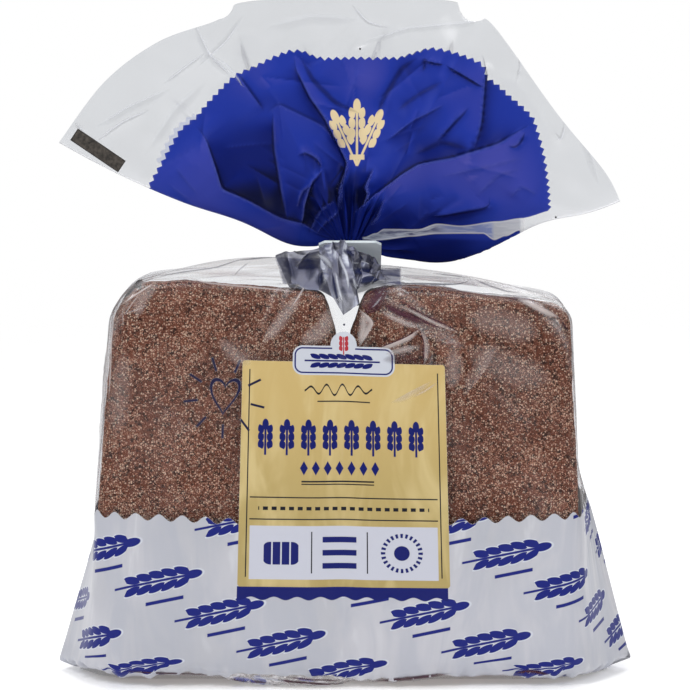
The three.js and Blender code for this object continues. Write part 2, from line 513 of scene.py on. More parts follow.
# the film round the bread, from the bottom seam to the clip

bodyFilm = {
    "baseRows": 14,
    "wallRows": 120,
    "roofRows": 56,
    "neckRows": 6,
    "lift": 0.25 * mm,         # off the floor
    "footCrumple": 1.1 * mm,
    "crumpleX": -20 * mm,      # the middle and the width of the crumpled part of the front edge
    "crumpleWidth": 22 * mm,
    "sideSlack": 0.38 * mm,
    "faceWaves": 0.22 * mm,
    "lipWaves": 0.8 * mm,      # up and down, at the crumpled part of the front edge
    "lipOut": 1.6 * mm,
    "lipWavesOut": 0.9 * mm,
    "shoulderPleat": 1.5 * mm,
    "roofLength": 36 * mm,     # film from the top edge to the neck
    "crowding": 0.75,          # how much closer the rows lie at the foot and at the top edge
    "creasePaintedLight": 0.4,
    "frontEnd": 95 * mm,       # film distance from the middle of the face
}

# for each kind of unevenness: shortest and longest wave, how many waves, seed
bodyRipples = {
    "slack": (5 * mm, 14 * mm, 20, 11),
    "calm": (22 * mm, 60 * mm, 16, 12),
    "tuck": (4 * mm, 16 * mm, 18, 13),
    "lip": (2.5 * mm, 8 * mm, 22, 14),
}


def bodyHeights():
    t = np.linspace(0, 1, bodyFilm["wallRows"])
    return pack["height"] * (t - bodyFilm["crowding"] * np.sin(math.tau * t) / math.tau)


def bodyRows(u):
    # rings of film from the middle of the bottom to the clip, and how far up the film each one lies
    rows, heights = [], []
    roof, top = bodyFilm["roofLength"], pack["height"]
    foot = bodyRing(0.0, u)
    for k in np.linspace(0, 1, bodyFilm["baseRows"], endpoint=False):
        ring = foot.copy()
        ring[:, 1] *= k
        rows.append(ring)
        heights.append((k - 1) * pack["halfDepth"])
    for z in bodyHeights():
        rows.append(bodyRing(z, u))
        heights.append(z)
    edge, gathered = bodyRing(top, u), neckRing(neck["bottom"], u)
    near, _ = foldOver(u)
    sideways = np.sin(math.pi * 2 * near / film["girth"]) ** neck["ridgeSharpness"]
    puff = np.where(edge[:, 0] < 0, neck["leftPuff"], neck["rightPuff"])
    for step in np.linspace(0, 1, bodyFilm["roofRows"])[1:]:
        ring = blend(edge, gathered, step)
        climb = step ** blend(neck["slopeClimb"], neck["ridgeClimb"], sideways)
        swell = puff * sideways * math.sin(math.pi * step)
        ring[:, 2] = blend(edge[:, 2], gathered[:, 2], climb) + swell
        rows.append(ring)
        heights.append(top + roof * step)
    for z in np.linspace(neck["bottom"], neck["waist"], bodyFilm["neckRows"])[1:]:
        rows.append(neckRing(z, u))
        heights.append(top + roof + z - neck["bottom"])
    return np.array(rows), np.array(heights)


def bodyUnevenness(place, u, v):
    # slack film down the sides, calm waves on the broad faces
    near, _ = foldOver(u)
    wall = smooth(18 * mm, 60 * mm, v) * (1 - smooth(132 * mm, 142 * mm, v))
    face = smooth(0, 20 * mm, v) * (1 - smooth(125 * mm, 140 * mm, v))
    atSide = smooth(72 * mm, 92 * mm, np.abs(near))
    slack = ripples(u * 2.2, v * 0.16, *bodyRipples["slack"])
    calm = ripples(u, v * 0.7, *bodyRipples["calm"])
    relief = bodyFilm["sideSlack"] * (0.5 + 0.5 * slack) * atSide * wall
    relief += bodyFilm["faceWaves"] * calm * (1 - atSide) * face

    # pleats that run down from the neck over the shoulders
    roofShare = np.clip((v - pack["height"]) / bodyFilm["roofLength"], -1, 1)
    reach = smooth(-0.75, 0.25, roofShare) * (1 - smooth(0.82, 1.0, roofShare))
    loud = 0.55 + 0.45 * np.sin(math.tau * 5 * u / film["girth"] + 1.1)
    nearNeck = bell(place[..., 0] - neck["x"], 20 * mm)
    pleat = (0.4 + 0.6 * np.cos(pleatPhase(u))) * (0.03 + 0.5 * nearNeck)
    return relief + bodyFilm["shoulderPleat"] * reach * loud * pleat


def crumpleFoot(place, u, v):
    _, side = foldOver(u)
    crumple = bodyFilm["footCrumple"]
    atFoot = (1 - smooth(1 * mm, 9 * mm, np.abs(v)))
    tuck = ripples(u, v * 0.5, *bodyRipples["tuck"])
    place[..., 2] += crumple * (0.55 + 0.45 * tuck) * atFoot * np.where(v > 0, 1, 0.25)
    place[..., 1] -= np.sign(place[..., 1]) * crumple * (0.5 + 0.5 * tuck) * atFoot
    crumpled = bell(u - bodyFilm["crumpleX"], bodyFilm["crumpleWidth"])
    place[..., 2] -= 0.7 * crumple * (0.55 + 0.45 * tuck) * atFoot * crumpled
    raised = (1 - smooth(0, 12 * mm, np.abs(v))) * np.where(side > 0, 1, 0.3)
    place[..., 2] += heightAlong(footLift, place[..., 0]) * raised
    waves = ripples(u, v * 1.6, *bodyRipples["lip"])
    atLip = (1 - smooth(2 * mm, 6 * mm, np.abs(v))) * (side > 0) * crumpled
    place[..., 2] += bodyFilm["lipWaves"] * waves * atLip
    place[..., 1] -= (bodyFilm["lipOut"] + bodyFilm["lipWavesOut"] * waves) * atLip
    place[..., 2] = np.maximum(place[..., 2], 0) + bodyFilm["lift"]


def makeBodyFilm():
    around = np.linspace(-0.5, 0.5, film["columns"] + 1) * film["girth"]
    place, heights = bodyRows(around)
    v = np.repeat(heights[:, None], len(around), 1)
    u = np.repeat(around[None, :], len(heights), 0)
    normal = gridNormals(place)
    relief = bodyUnevenness(place, u, v)
    lines = []
    for u0, v0, u1, v1, height, width, paintedLightLeft, paintedLightRight in bodyCreases:
        ends = (u0 * mm, v0 * mm), (u1 * mm, v1 * mm)
        lines.append((ends, height * mm, width * mm, width * mm, paintedLightLeft, paintedLightRight))
    sharp, line, paintedLight = creases(u, v, lines)
    place += normal * (relief + sharp)[..., None]
    crumpleFoot(place, u, v)
    marks = {"crease": line, "paintedLight": paintedLight * bodyFilm["creasePaintedLight"]}
    piece = gridPiece("bagFilm", len(around), len(heights), place, {"film": np.stack([u, v], -1)}, marks)
    front = np.abs(around) < film["girth"] / 4
    wallAndRoof = slice(bodyFilm["baseRows"], None)
    return piece, frontGrid(place[wallAndRoof, front], around[front], heights[wallAndRoof])


def frontGrid(place, u, heights):
    # the front of the film for folds to lie on: below the roof it ends a little way round the corners
    grid = place.copy()
    ends = blend(bodyFilm["frontEnd"], film["girth"] / 4, smooth(112 * mm, pack["height"], heights))
    for row, end in enumerate(ends):
        held = np.clip(u, -end, end)
        for axis in range(3):
            grid[row, :, axis] = np.interp(held, u, place[row, :, axis])
    return grid


# how high the front edge of the foot stands off the floor, along the pack in mm
footLift = [
    (-102, 0.8), (-95, 2.0), (-88, 3.4), (-84, 3.3), (-79, 1.6), (-73, 2.6), (-66, 3.3), (-50, 3.3),
    (-44, 2.7), (-38, 1.6), (-30, 0.3), (-22, 0), (-6, 0), (3, 1.2), (14, 0.9), (24, 0.9), (32, 2.1),
    (44, 2.7), (52, 3.3), (60, 2.8), (70, 1.9), (80, 1.7), (90, 1.0), (98, 1.7), (102, 1.0),
]

# film distance and height of both ends in mm, then height and width of the ridge, and how much painted sheen
# (above 0) or painted shade (below 0) the film gets to its left and to its right
bodyCreases = [
    (13, 140, 43, 120, 1.2, 1.8, 0.5, -1.1),
    (9, 133, 42, 119.5, 0.9, 1.3, -1.0, 0.5),
    (11, 136, 30, 124, 0.7, 0.8, -0.7, -0.9),
    (5, 129, 8, 114, 1.0, 2.2, 0.9, 0.2),
    (28, 121, 12, 114.5, 0.9, 1.6, -0.2, 1.0),
    (28, 122, 31, 112, 0.8, 1.4, 0.4, -0.6),
    (-6, 166, -24, 126, 0.8, 1.2, 0.7, 0.7),
    (-9, 163, -31, 121, 0.5, 0.9, 0.5, 0.5),
    (-40, 122, -22, 108, 0.4, 2.6, 0.3, 0.3),
    (-2, 138, -1.2, 118, 0.5, 1.4, -0.4, 0.4),
    (46, 141, 20, 150, 1.4, 1.6, 0.4, -0.5),
    (50, 141, 74, 138, 0.8, 2.0, 0.4, 0),
    (58, 140, 77, 127, 0.8, 2.2, 0.8, 0.5),
    (64, 140, 80, 120, 0.6, 1.4, 0.6, 0.6),
    (70, 137, 84, 104, 0.5, 1.2, 0.5, 0.5),
    (-62, 141, -80, 130, 0.8, 2.0, 0.4, 0.8),
    (-68, 141, -86, 116, 0.7, 1.4, 0.6, 0.6),
    (-76, 136, -92, 98, 0.6, 1.4, 0.5, 0.5),
    (-82, 124, -97, 80, 0.5, 1.6, 0.4, 0.4),
    (-14, 160, -64, 142, 0.7, 2.4, 0.3, 0),
    (-10, 152, -44, 141, 0.6, 1.6, 0.4, -0.2),
    (44, 112, 66, 92, 0.3, 3.4, 0.25, 0),
    (-70, 104, -52, 88, 0.3, 3.4, 0.2, 0),
    (16, 108, 31, 96, 0.4, 2.6, 0, 0),
    (8, 96, 30, 104, 0.3, 2.6, 0, 0),
    (-30, 66, -22, 44, 0.3, 2.2, 0, 0),
    (-80, 30, -60, 12, 0.5, 2.6, 0, 0),
    (52, 34, 70, 10, 0.5, 2.6, 0, 0),
    (-20, 22, -6, 6, 0.4, 2.2, 0, 0),
    (30, 20, 40, 5, 0.4, 2.2, 0, 0),
]


# the fan above the clip

fan = {
    "columns": 520,
    "rows": 150,
    "holeRadius": 5.8 * mm,
    "holes": [(-44.8 * mm, 238 * mm), (45.7 * mm, 237.2 * mm)],
    "halfDepth": 8 * mm,
    "mouthHalfDepth": 5 * mm,
    "openedBy": 0.3,
    "waveDepth": 4 * mm,
    "waveCount": 2.2,
    "waveStart": 0.15,
    "leftSag": 10 * mm,
    "leftBow": 0.55,
    "rightSag": 19 * mm,
    "rightBow": 0.36,
    "foldShift": 24 * mm,      # how far the front film rolls under at the right fold
    "droop": 3.2 * mm,
    "pleats": 15,              # on each layer
    "pleatDepth": 3.4 * mm,
    "pleatRoll": 1.5 * mm,
    "foldHeight": 1.35,
    "scattered": 60,           # small creases on each layer
    "unevenness": 0.35 * mm,
    "leftHang": 4.6 * mm,      # how much lower the left end hangs, near the neck and further out
    "leftEndHang": 2.2 * mm,
    "drawnUp": 3.6 * mm,       # the lower edge at the right, beyond the roll
    "stubRows": 6,             # the last of the neck, down into the clip
    "filmStart": 176 * mm,     # film distances: at the waist and where the fan begins
    "filmAtNeck": 180 * mm,
    "bandEdge": 73 * mm,       # from there to the edge of the band
    "backLower": 0.4 * mm,     # the back layer's band ends this much lower
    "foldMargin": 3 * mm,      # thin folds keep clear of the side folds and of the first rows
    "foldRows": 12,
}

# the open edge of the fan from the left tip to the right tip, x and z in mm
mouthEdge = [
    (-101, 191), (-85, 211.4), (-66, 224.4), (-45, 231.8), (-38, 237.6), (-19, 239.5), (0, 240),
    (20, 239.6), (39, 238.2), (46, 232.6), (52.5, 229.4), (74.5, 199.4), (91.5, 178.8), (97.3, 168),
]


def mouthPoint(share):
    # a smooth curve through the points of the open edge
    points = np.array(mouthEdge) * mm
    spot = np.clip(share, 0, 1) * (len(points) - 1)
    k = np.minimum(spot.astype(int), len(points) - 2)
    t = (spot - k)[..., None]
    p1, p2 = points[k], points[k + 1]
    p0 = np.where((k > 0)[..., None], points[np.maximum(k - 1, 0)], p1)
    p3 = np.where((k < len(points) - 2)[..., None], points[np.minimum(k + 2, len(points) - 1)], p2)
    v0, v1 = (p2 - p0) / 2, (p3 - p1) / 2
    return (2 * p1 - 2 * p2 + v0 + v1) * t**3 + (-3 * p1 + 3 * p2 - 2 * v0 - v1) * t**2 + v0 * t + p1


# the folds of the front layer, mm across and up from the neck: points, ridge height, how far it reaches to
# the left and to the right of the line, and its painted light (above 0) or painted shade (below 0) there
frontFolds = [
    ([(-20, 68), (-19, 62), (-14, 52), (-9, 45), (-1, 29), (-4, 15)], 3.0, 12, 1.8, 0.45, -0.75),
    ([(-18, 67), (-13, 58), (-5, 50), (4, 46)], -1.2, 3.5, 3.5, -0.45, -0.45),
    ([(24, 66), (18, 62), (12, 52), (9, 45)], -1.2, 3.5, 3.5, -0.45, -0.45),
    ([(-30, 46), (-25, 50), (-17, 46), (-9, 42), (-3, 34)], 2.6, 7, 5, -0.35, 0.15),
    ([(-27, 48), (-26.5, 34), (-24, 21), (-21, 11)], 2.6, 1.6, 8, 0.45, -0.7),
    ([(-40, 61), (-35, 54), (-30, 47)], 1.4, 2.5, 6, -0.5, 0.1),
    ([(-55, 44), (-50.5, 38), (-47, 28), (-45, 21), (-37, 18), (-24, 13), (-15, 10), (-6, 4)],
     4.0, 7, 16, -0.9, 0.5),
    ([(26, 66), (25.5, 61)], 0.8, 1.4, 1.4, -0.5, -0.2),
    ([(25, 65), (33, 63.4)], 0.7, 2.5, 1.2, 0.1, -0.7),
    ([(33, 63.5), (40, 59.5), (47.5, 55)], 1.0, 3, 1.2, 0.1, -0.9),
    ([(46, 68), (47.4, 61), (47, 54), (46, 43), (43, 32)], 1.7, 2.2, 9, -0.75, 0.3),
    ([(66, 44), (51, 35.6), (35, 31), (24, 29), (18, 25.5), (8.6, 18.5), (-2, 8)], 4.2, 16, 4.5, 0.5, -0.8),
    ([(42, 34), (32, 36.5), (22, 32)], 1.4, 3, 3, -0.35, -0.35),
    ([(27, 10.5), (39, 12.5), (49, 14), (49, 18)], 1.6, 5, 2.5, 0.1, -0.75),
    ([(8.6, 28), (4.7, 20.5), (6.2, 18.5), (3.2, 12)], 1.8, 1.3, 3, 0.75, -0.5),
    ([(-0.6, 30), (-3.8, 20), (-3, 12)], 1.6, 1.2, 2.4, 0.55, -0.4),
    ([(-18.5, 31.5), (-15.7, 33.4), (-11, 30.5), (-9.5, 27)], 1.5, 1.2, 2.5, 0.5, -0.6),
    ([(-8.4, 27.5), (-13, 22.5), (-15, 14.5), (-15.8, 8)], 2.0, 2.5, 1.3, -0.6, 0.6),
    ([(-18, 14), (-16.3, 19), (-12, 22.5)], 1.2, 1.2, 1.6, 0.45, -0.3),
    ([(-13, 6), (-9, 13), (-5, 16)], 1.4, 1.4, 1.6, -0.4, 0.5),
    ([(-10, 5), (-5, 9), (-2, 14)], 1.2, 1.2, 1.4, 0.4, -0.4),
    ([(5, 6), (9, 10), (12, 18)], 1.2, 1.4, 1.6, -0.4, 0.4),
    ([(16, 47), (24, 53), (33, 58)], -0.8, 4, 4, -0.3, -0.3),
    ([(12, 36), (22, 44), (34, 50)], 1.0, 5, 3, 0.15, -0.3),
    ([(42, 49), (35, 42), (30, 36)], 0.8, 0.9, 1.4, -0.7, 0.15),
    ([(55, 35), (58.5, 34.5), (61.5, 40)], 0.8, 0.9, 1.2, 0.3, -0.7),
    ([(60, 27), (52, 25), (44, 17)], 0.8, 4, 4, -0.15, 0.1),
    ([(66, 17), (60, 21), (56, 16)], 0.7, 2.5, 4, -0.15, 0.12),
    ([(30, 24), (44, 27), (62, 31)], 0.7, 4, 4, 0.1, -0.12),
    ([(-62, 30), (-53, 19)], 0.8, 5, 5, 0, -0.12),
    ([(-66, 25), (-50, 12), (-30, 3)], 0.8, 5, 5, 0.08, -0.2),
    ([(-50, 68), (-46, 64), (-42, 60)], 1.0, 0.9, 1.4, 0, 0),
    ([(-90, 38), (-80, 45), (-70, 49)], 0.6, 1.2, 2.0, 0, 0),
    ([(-97, 45), (-93, 41)], 0.7, 1.2, 1.6, 0, 0),
    ([(-66, 57), (-60, 61), (-50, 68)], 0.4, 3.0, 4.0, 0, 0),
    ([(0, 85), (6, 78), (14, 76)], 0.6, 1.4, 1.6, 0, 0),
    ([(57, 77), (60, 64), (58, 56)], 0.5, 1.4, 1.8, 0, 0),
    ([(76, 44), (74, 36), (72, 40)], 0.5, 1.2, 1.6, 0, 0),
]

backFolds = [
    ([(-18, 73), (-8, 54), (-2, 24)], 3.0, 2, 12, -0.5, 0.3),
    ([(-40, 76), (-32, 52), (-18, 23)], 2.8, 10, 2, 0.3, -0.5),
    ([(-67, 57), (-48, 35), (-22, 13)], 3.0, 3, 12, -0.6, 0.35),
    ([(14, 79), (6, 56), (1, 28)], 2.6, 12, 1.8, 0.3, -0.5),
    ([(37, 75), (28, 48), (10, 22)], 3.0, 2, 12, -0.5, 0.3),
    ([(60, 58), (38, 42), (14, 21)], 3.0, 12, 2, 0.35, -0.6),
    ([(72, 38), (48, 30), (17, 14)], 2.8, 2.4, 10, -0.5, 0.3),
    ([(71, 19), (48, 12), (25, 8)], 2.0, 6, 2, 0.2, -0.4),
    ([(-5, 44), (-10, 26), (-8, 14)], 1.8, 1.4, 2.6, 0.4, -0.4),
    ([(12, 38), (6, 25), (1, 14)], 1.8, 1.4, 2.6, 0.4, -0.4),
    ([(-23, 28), (-17, 17), (-11, 9)], 1.8, 1.4, 2.6, -0.4, 0.4),
]

# hollows and swells between the folds: across, up, radius, depth, and painted light (above 0) or painted
# shade (below 0)
frontSpots = [
    (-34, 24, 12, 3.0, -0.5), (-14, 15, 8, 1.8, -0.45), (0, 20, 9, 2.0, -0.7), (-2, 35, 6, 1.0, -0.35),
    (19, 39, 8, 1.4, -0.3), (17, 7, 5, 0.8, -0.5), (27, 8, 5, 0.8, -0.45), (7, 60, 8, -0.6, 0.45),
    (12, 9, 9, 0.4, -0.6), (26, 12, 9, 0.4, -0.5), (39, 11, 6, 0.2, -0.35), (-33, 60, 7, -0.6, 0.3),
    (56, 24, 11, -0.6, 0.15), (-40, 40, 8, 0, -0.1), (46, 24, 12, 0, 0.1),
]


def foldLines(folds):
    lines = []
    for points, height, wideLeft, wideRight, *paintedLights in folds:
        spots = [(across * mm, up * mm) for across, up in points]
        lines.append((spots, fan["foldHeight"] * height * mm, wideLeft * mm, wideRight * mm, *paintedLights))
    return lines


def scatterFolds(count, seed):
    # small creases of no order, most of them pointing away from the neck
    draw = np.random.default_rng(seed)
    folds = []
    for _ in range(count):
        turn, r = math.radians(12 + 142 * draw.random()), 8 + 58 * draw.random()
        length, swing = 5 + 13 * draw.random(), math.radians(draw.normal(0, 12))
        height = (0.15 + 0.4 * draw.random()) * max(0.3, 1 - r / 80) * (1 if draw.random() < 0.7 else -1)
        wide = 0.9 + 2.6 * draw.random() ** 2, 0.9 + 2.6 * draw.random() ** 2
        shadow = 0.35 * draw.random() * (1 if draw.random() < 0.5 else -1)
        ends = [(r * math.cos(turn), r * math.sin(turn))]
        ends.append(((r + length) * math.cos(turn + swing), (r + length) * math.sin(turn + swing)))
        folds.append((ends, height, *wide, shadow, -shadow))
    return folds


# how far the printed band reaches from the neck, angle and mm
bandReach = [
    (0, 70), (11, 71.6), (19, 73.4), (25, 75.2), (31, 77), (34.7, 78.3), (37.5, 77.8), (43, 76.5),
    (48.5, 76.3), (51, 75.6), (53, 78.3), (54.5, 78.5), (60, 77.2), (65, 75.7), (68, 74.4), (72, 70.5),
    (75.5, 67.6), (83, 65.9), (92, 65.6), (98, 66), (101, 67.5), (104, 70.3), (107.5, 71.4), (118, 71),
    (124, 72), (131, 71), (140, 70.7), (145, 72.8), (155, 73.1), (164, 74.8),
]


def fanStrips(root, share, step):
    # each strip of film runs from the neck to its point of the open edge, on a curve that sags
    end = mouthPoint(share)
    bow = blend(fan["leftBow"], fan["rightBow"], smooth(0.25, 0.75, share))
    middle = root + (end - root) * bow[..., None]
    sag = np.where(share < 0.5, fan["leftSag"], fan["rightSag"])
    middle[..., 1] -= sag * np.abs(2 * share - 1) ** 3
    s = step[..., None]
    return (1 - s) ** 2 * root + 2 * s * (1 - s) * middle + s**2 * end


def fanPleats(share, side, radius):
    # pleats near the neck, rolled sideways so that they lap over one another
    phase = math.tau * fan["pleats"] * share + 1.4 * np.sin(math.tau * 2.3 * share + side) + 2.0 * side
    fade = (1 - smooth(6 * mm, 26 * mm, radius)) * smooth(0, 5 * mm, radius)
    uneven = 0.55 + 0.45 * np.sin(math.tau * 3.7 * share + 2.2 * side)
    pleat = fan["pleatDepth"] * fade * uneven * np.cos(phase) * np.minimum(1, radius / (16 * mm))
    roll = fan["pleatRoll"] * fade * uneven * np.sin(phase) * np.minimum(1, radius / (12 * mm))
    return pleat, roll


def fanRelief(flatX, flatZ, inFront):
    # the folds of both layers: relief, crest lines, and the film's painted light and shade, the back layer
    # painted a little darker
    (frontRelief, frontLine, frontPaintedLight), (backRelief, backLine, backPaintedLight) = (
        creases(flatX, flatZ, foldLines(folds + scatterFolds(fan["scattered"], seed)))
        for folds, seed in ((frontFolds, 21), (backFolds, 22)))
    for spotX, spotZ, wide, deep, light in frontSpots:
        away = np.hypot(flatX - spotX * mm, flatZ - spotZ * mm)
        dome = bell(away, wide * mm)
        frontRelief -= deep * mm * dome
        frontPaintedLight += light * dome
    relief = np.where(inFront, frontRelief, backRelief)
    line = np.where(inFront, frontLine, backLine)
    return relief, line, np.where(inFront, frontPaintedLight, backPaintedLight - 0.2)


def cutHoles(place):
    # at the two round holes the film ends along the hole's lower edge
    for holeX, holeZ in fan["holes"]:
        dx, dz = place[..., 0] - holeX, place[..., 2] - holeZ
        inside = np.hypot(dx, dz) < fan["holeRadius"]
        drop = holeZ - np.sqrt(np.maximum(fan["holeRadius"] ** 2 - dx**2, 0))
        place[..., 2] = np.where(inside, np.minimum(place[..., 2], drop), place[..., 2])


def bandSpan(angle, inFront):
    # the way along the band's edge, and how far the band reaches in each direction
    turns = np.linspace(-20, 200, 881)
    edge = np.interp(turns, *zip(*bandReach)) * mm
    edgeStep = np.hypot(np.gradient(edge), edge * np.radians(turns[1] - turns[0]))
    arc = np.interp(np.degrees(angle), turns, np.cumsum(edgeStep))
    reach = np.interp(np.degrees(angle), turns, edge)
    return arc, np.where(inFront, reach, reach - fan["backLower"])


def withStub(values, fill=None):
    # values for the rows of the neck below the fan too: the first row's, or one fixed value
    first = values[:1] if fill is None else np.full_like(values[:1], fill)
    return np.concatenate([np.repeat(first, fan["stubRows"], 0), values])


def makeFanFilm():
    u = np.linspace(-0.5, 0.5, fan["columns"] + 1) * film["girth"]
    t = np.linspace(0, 1, fan["rows"])
    step = np.repeat((0.35 * t + 0.65 * t**1.35)[:, None], len(u), 1)
    quarter = film["girth"] / 4
    wrapped = np.repeat(np.where(u < -quarter, u + film["girth"], u)[None, :], len(t), 0)
    rightFold = quarter + fan["foldShift"] * (1 - smooth(0.46, 0.68, step)) * smooth(0.02, 0.2, step)
    inFront = wrapped <= rightFold
    side = np.where(inFront, -1.0, 1.0)
    frontShare = (wrapped + quarter) / (rightFold + quarter)
    backShare = (3 * quarter - wrapped) / (3 * quarter - rightFold)
    share = np.clip(np.where(inFront, frontShare, backShare), 0, 1)

    root = np.array([neck["x"], neck["top"]])
    spot = fanStrips(root, share, step)
    flatX, flatZ = np.moveaxis(spot - root, -1, 0)
    radius = np.hypot(flatX, flatZ)
    angle = np.arctan2(flatZ, flatX)

    # half the thickness, and the slow wave that both layers share
    opened = smooth(0, fan["openedBy"], step)
    swell = np.sin(math.pi * share) ** blend(1.0, 0.5, opened)
    depth = blend(fan["halfDepth"], fan["mouthHalfDepth"], step**2)
    half = blend(neck["radiusY"], depth, opened)
    turn = math.tau * (fan["waveCount"] * share + fan["waveStart"])
    wave = fan["waveDepth"] * opened * np.sin(turn) * np.sin(math.pi * share)

    pleat, roll = fanPleats(share, side, radius)
    relief, line, paintedLight = fanRelief(flatX, flatZ, inFront)
    tips = np.clip(np.sin(math.pi * share) * 5, 0, 1)
    uneven = ripples(flatX, flatZ, 12 * mm, 40 * mm, 18, 23) * fan["unevenness"]
    droop = fan["droop"] * smooth(0.8, 1.0, share) * bell(radius - 34 * mm, 16 * mm)
    y = side * (half * swell + (relief + uneven) * tips * opened + pleat * swell) + wave + 2.2 * droop

    # the lower edges: the left one hangs lower next to the neck, the right one is drawn up beyond the roll
    nearLeft = fan["leftHang"] * bell(flatX + 20 * mm, 15 * mm)
    nearLeft += fan["leftEndHang"] * smooth(25 * mm, 60 * mm, -flatX)
    hang = nearLeft * (1 - smooth(0, 0.2, share)) * smooth(2 * mm, 10 * mm, radius)
    nearRight = bell(flatX - 68 * mm, 14 * mm)
    drawnUp = fan["drawnUp"] * nearRight * smooth(0.88, 1.0, share)
    grip = (1 - step) ** 6
    x = spot[..., 0] - neck["radiusX"] * np.cos(math.pi * share) * grip - np.sin(angle) * roll
    z = spot[..., 1] + np.cos(angle) * roll - droop - hang + drawnUp
    place = np.stack([x, y, z], -1)

    # below the fan: the last of the neck, down into the clip
    stubHeights = np.linspace(neck["waist"], neck["top"], fan["stubRows"] + 1)[:-1]
    first = np.repeat(neckRing(neck["top"], u)[None], len(t), 0)
    place = blend(first + (place - place[:1]), place, smooth(0, 0.05, step)[..., None])
    place = np.concatenate([np.stack([neckRing(height, u) for height in stubHeights]), place])
    cutHoles(place)
    onFan = slice(fan["stubRows"], None)
    plane = np.stack([place[onFan, :, 0] - neck["x"], place[onFan, :, 2] - neck["top"]], -1)

    # painted shade: darker near the neck, in the hollows and in the roll under the right fold, where more
    # film lies behind
    paintedLight = 1.15 * paintedLight - 0.8 * bell(radius, 14 * mm)
    rollTop = 3.4 * mm - 0.02 * flatX + 10 * mm * smooth(48 * mm, 75 * mm, flatX)
    inRoll = inFront * smooth(0, 2 * mm, rollTop - plane[..., 1]) * smooth(4 * mm, 12 * mm, flatX)
    paintedLight = np.clip(blend(paintedLight, -0.75 + 0.45 * smooth(34 * mm, 50 * mm, flatX), inRoll), -2, 1)

    arc, reach = bandSpan(angle, inFront)
    v = fan["filmAtNeck"] + radius * (fan["bandEdge"] / reach)
    stubFilm = np.linspace(fan["filmStart"], fan["filmAtNeck"], fan["stubRows"] + 1)[:-1, None]
    v = np.concatenate([np.repeat(stubFilm, len(u), 1), v])
    maps = {"film": np.stack([np.repeat(u[None, :], len(v), 0), v], -1), "plane": withStub(plane, 0)}
    marks = {"crease": withStub(line, 0), "front": withStub(inFront).astype(float)}
    marks.update({"paintedLight": withStub(paintedLight), "arc": withStub(arc)})
    piece = gridPiece("fanFilm", len(u), len(v), place, maps, marks)
    front = np.abs(u) < quarter - fan["foldMargin"]
    rows = fan["foldRows"]
    return piece, place[onFan][rows:, front], np.stack([flatX, flatZ], -1)[rows:, front]


# the bundle of crumpled film that comes forward from under the clip and hangs into the gap

neckFolds = {
    "rows": 90,
    "columns": 120,
    "width": 34 * mm,
    "length": 30 * mm,
    "creases": 46,
    "seed": 34,
    "creaseMark": 0.4,
    "clipHeight": 143 * mm,    # above this height the film stays in front of the clip
    "clipFront": -9.8 * mm,
}

# from left to right: four points of the curve that each strip of film follows, mm
neckCurves = [
    [(-9.6, -8.0, 151.6), (-15, -8.6, 151.6), (-21, -10.5, 150.8), (-24.4, -13, 149.2)],
    [(-8.4, -9.8, 152.4), (-13.5, -11.5, 151.6), (-18.5, -17, 147), (-19.4, -24.5, 139.8)],
    [(-6.0, -10.8, 154.0), (-8, -14, 152.4), (-9.5, -21, 147.5), (-9, -29, 139.0)],
    [(-3.6, -11.2, 154.4), (-4, -15, 153.0), (-4.8, -24, 147.0), (-4.2, -31.0, 137.0)],
    [(-1.4, -11.4, 154.2), (-1, -16, 153.2), (-1.6, -25, 147.0), (-0.6, -32.0, 130.6)],
    [(0.2, -11.4, 153.4), (2, -16, 152.2), (2.8, -24, 146.0), (5.2, -31.6, 134.0)],
    [(2.8, -11.2, 151.8), (5.5, -15, 150.6), (6.5, -22, 146.0), (4.6, -29.5, 139.6)],
    [(5.6, -10.8, 150.0), (9.5, -13.5, 148.6), (10.5, -19, 145.4), (9.4, -25.5, 140.6)],
    [(8.6, -10.0, 147.0), (12.0, -12, 146.0), (13.6, -16, 144.0), (14.0, -21, 141.4)],
]


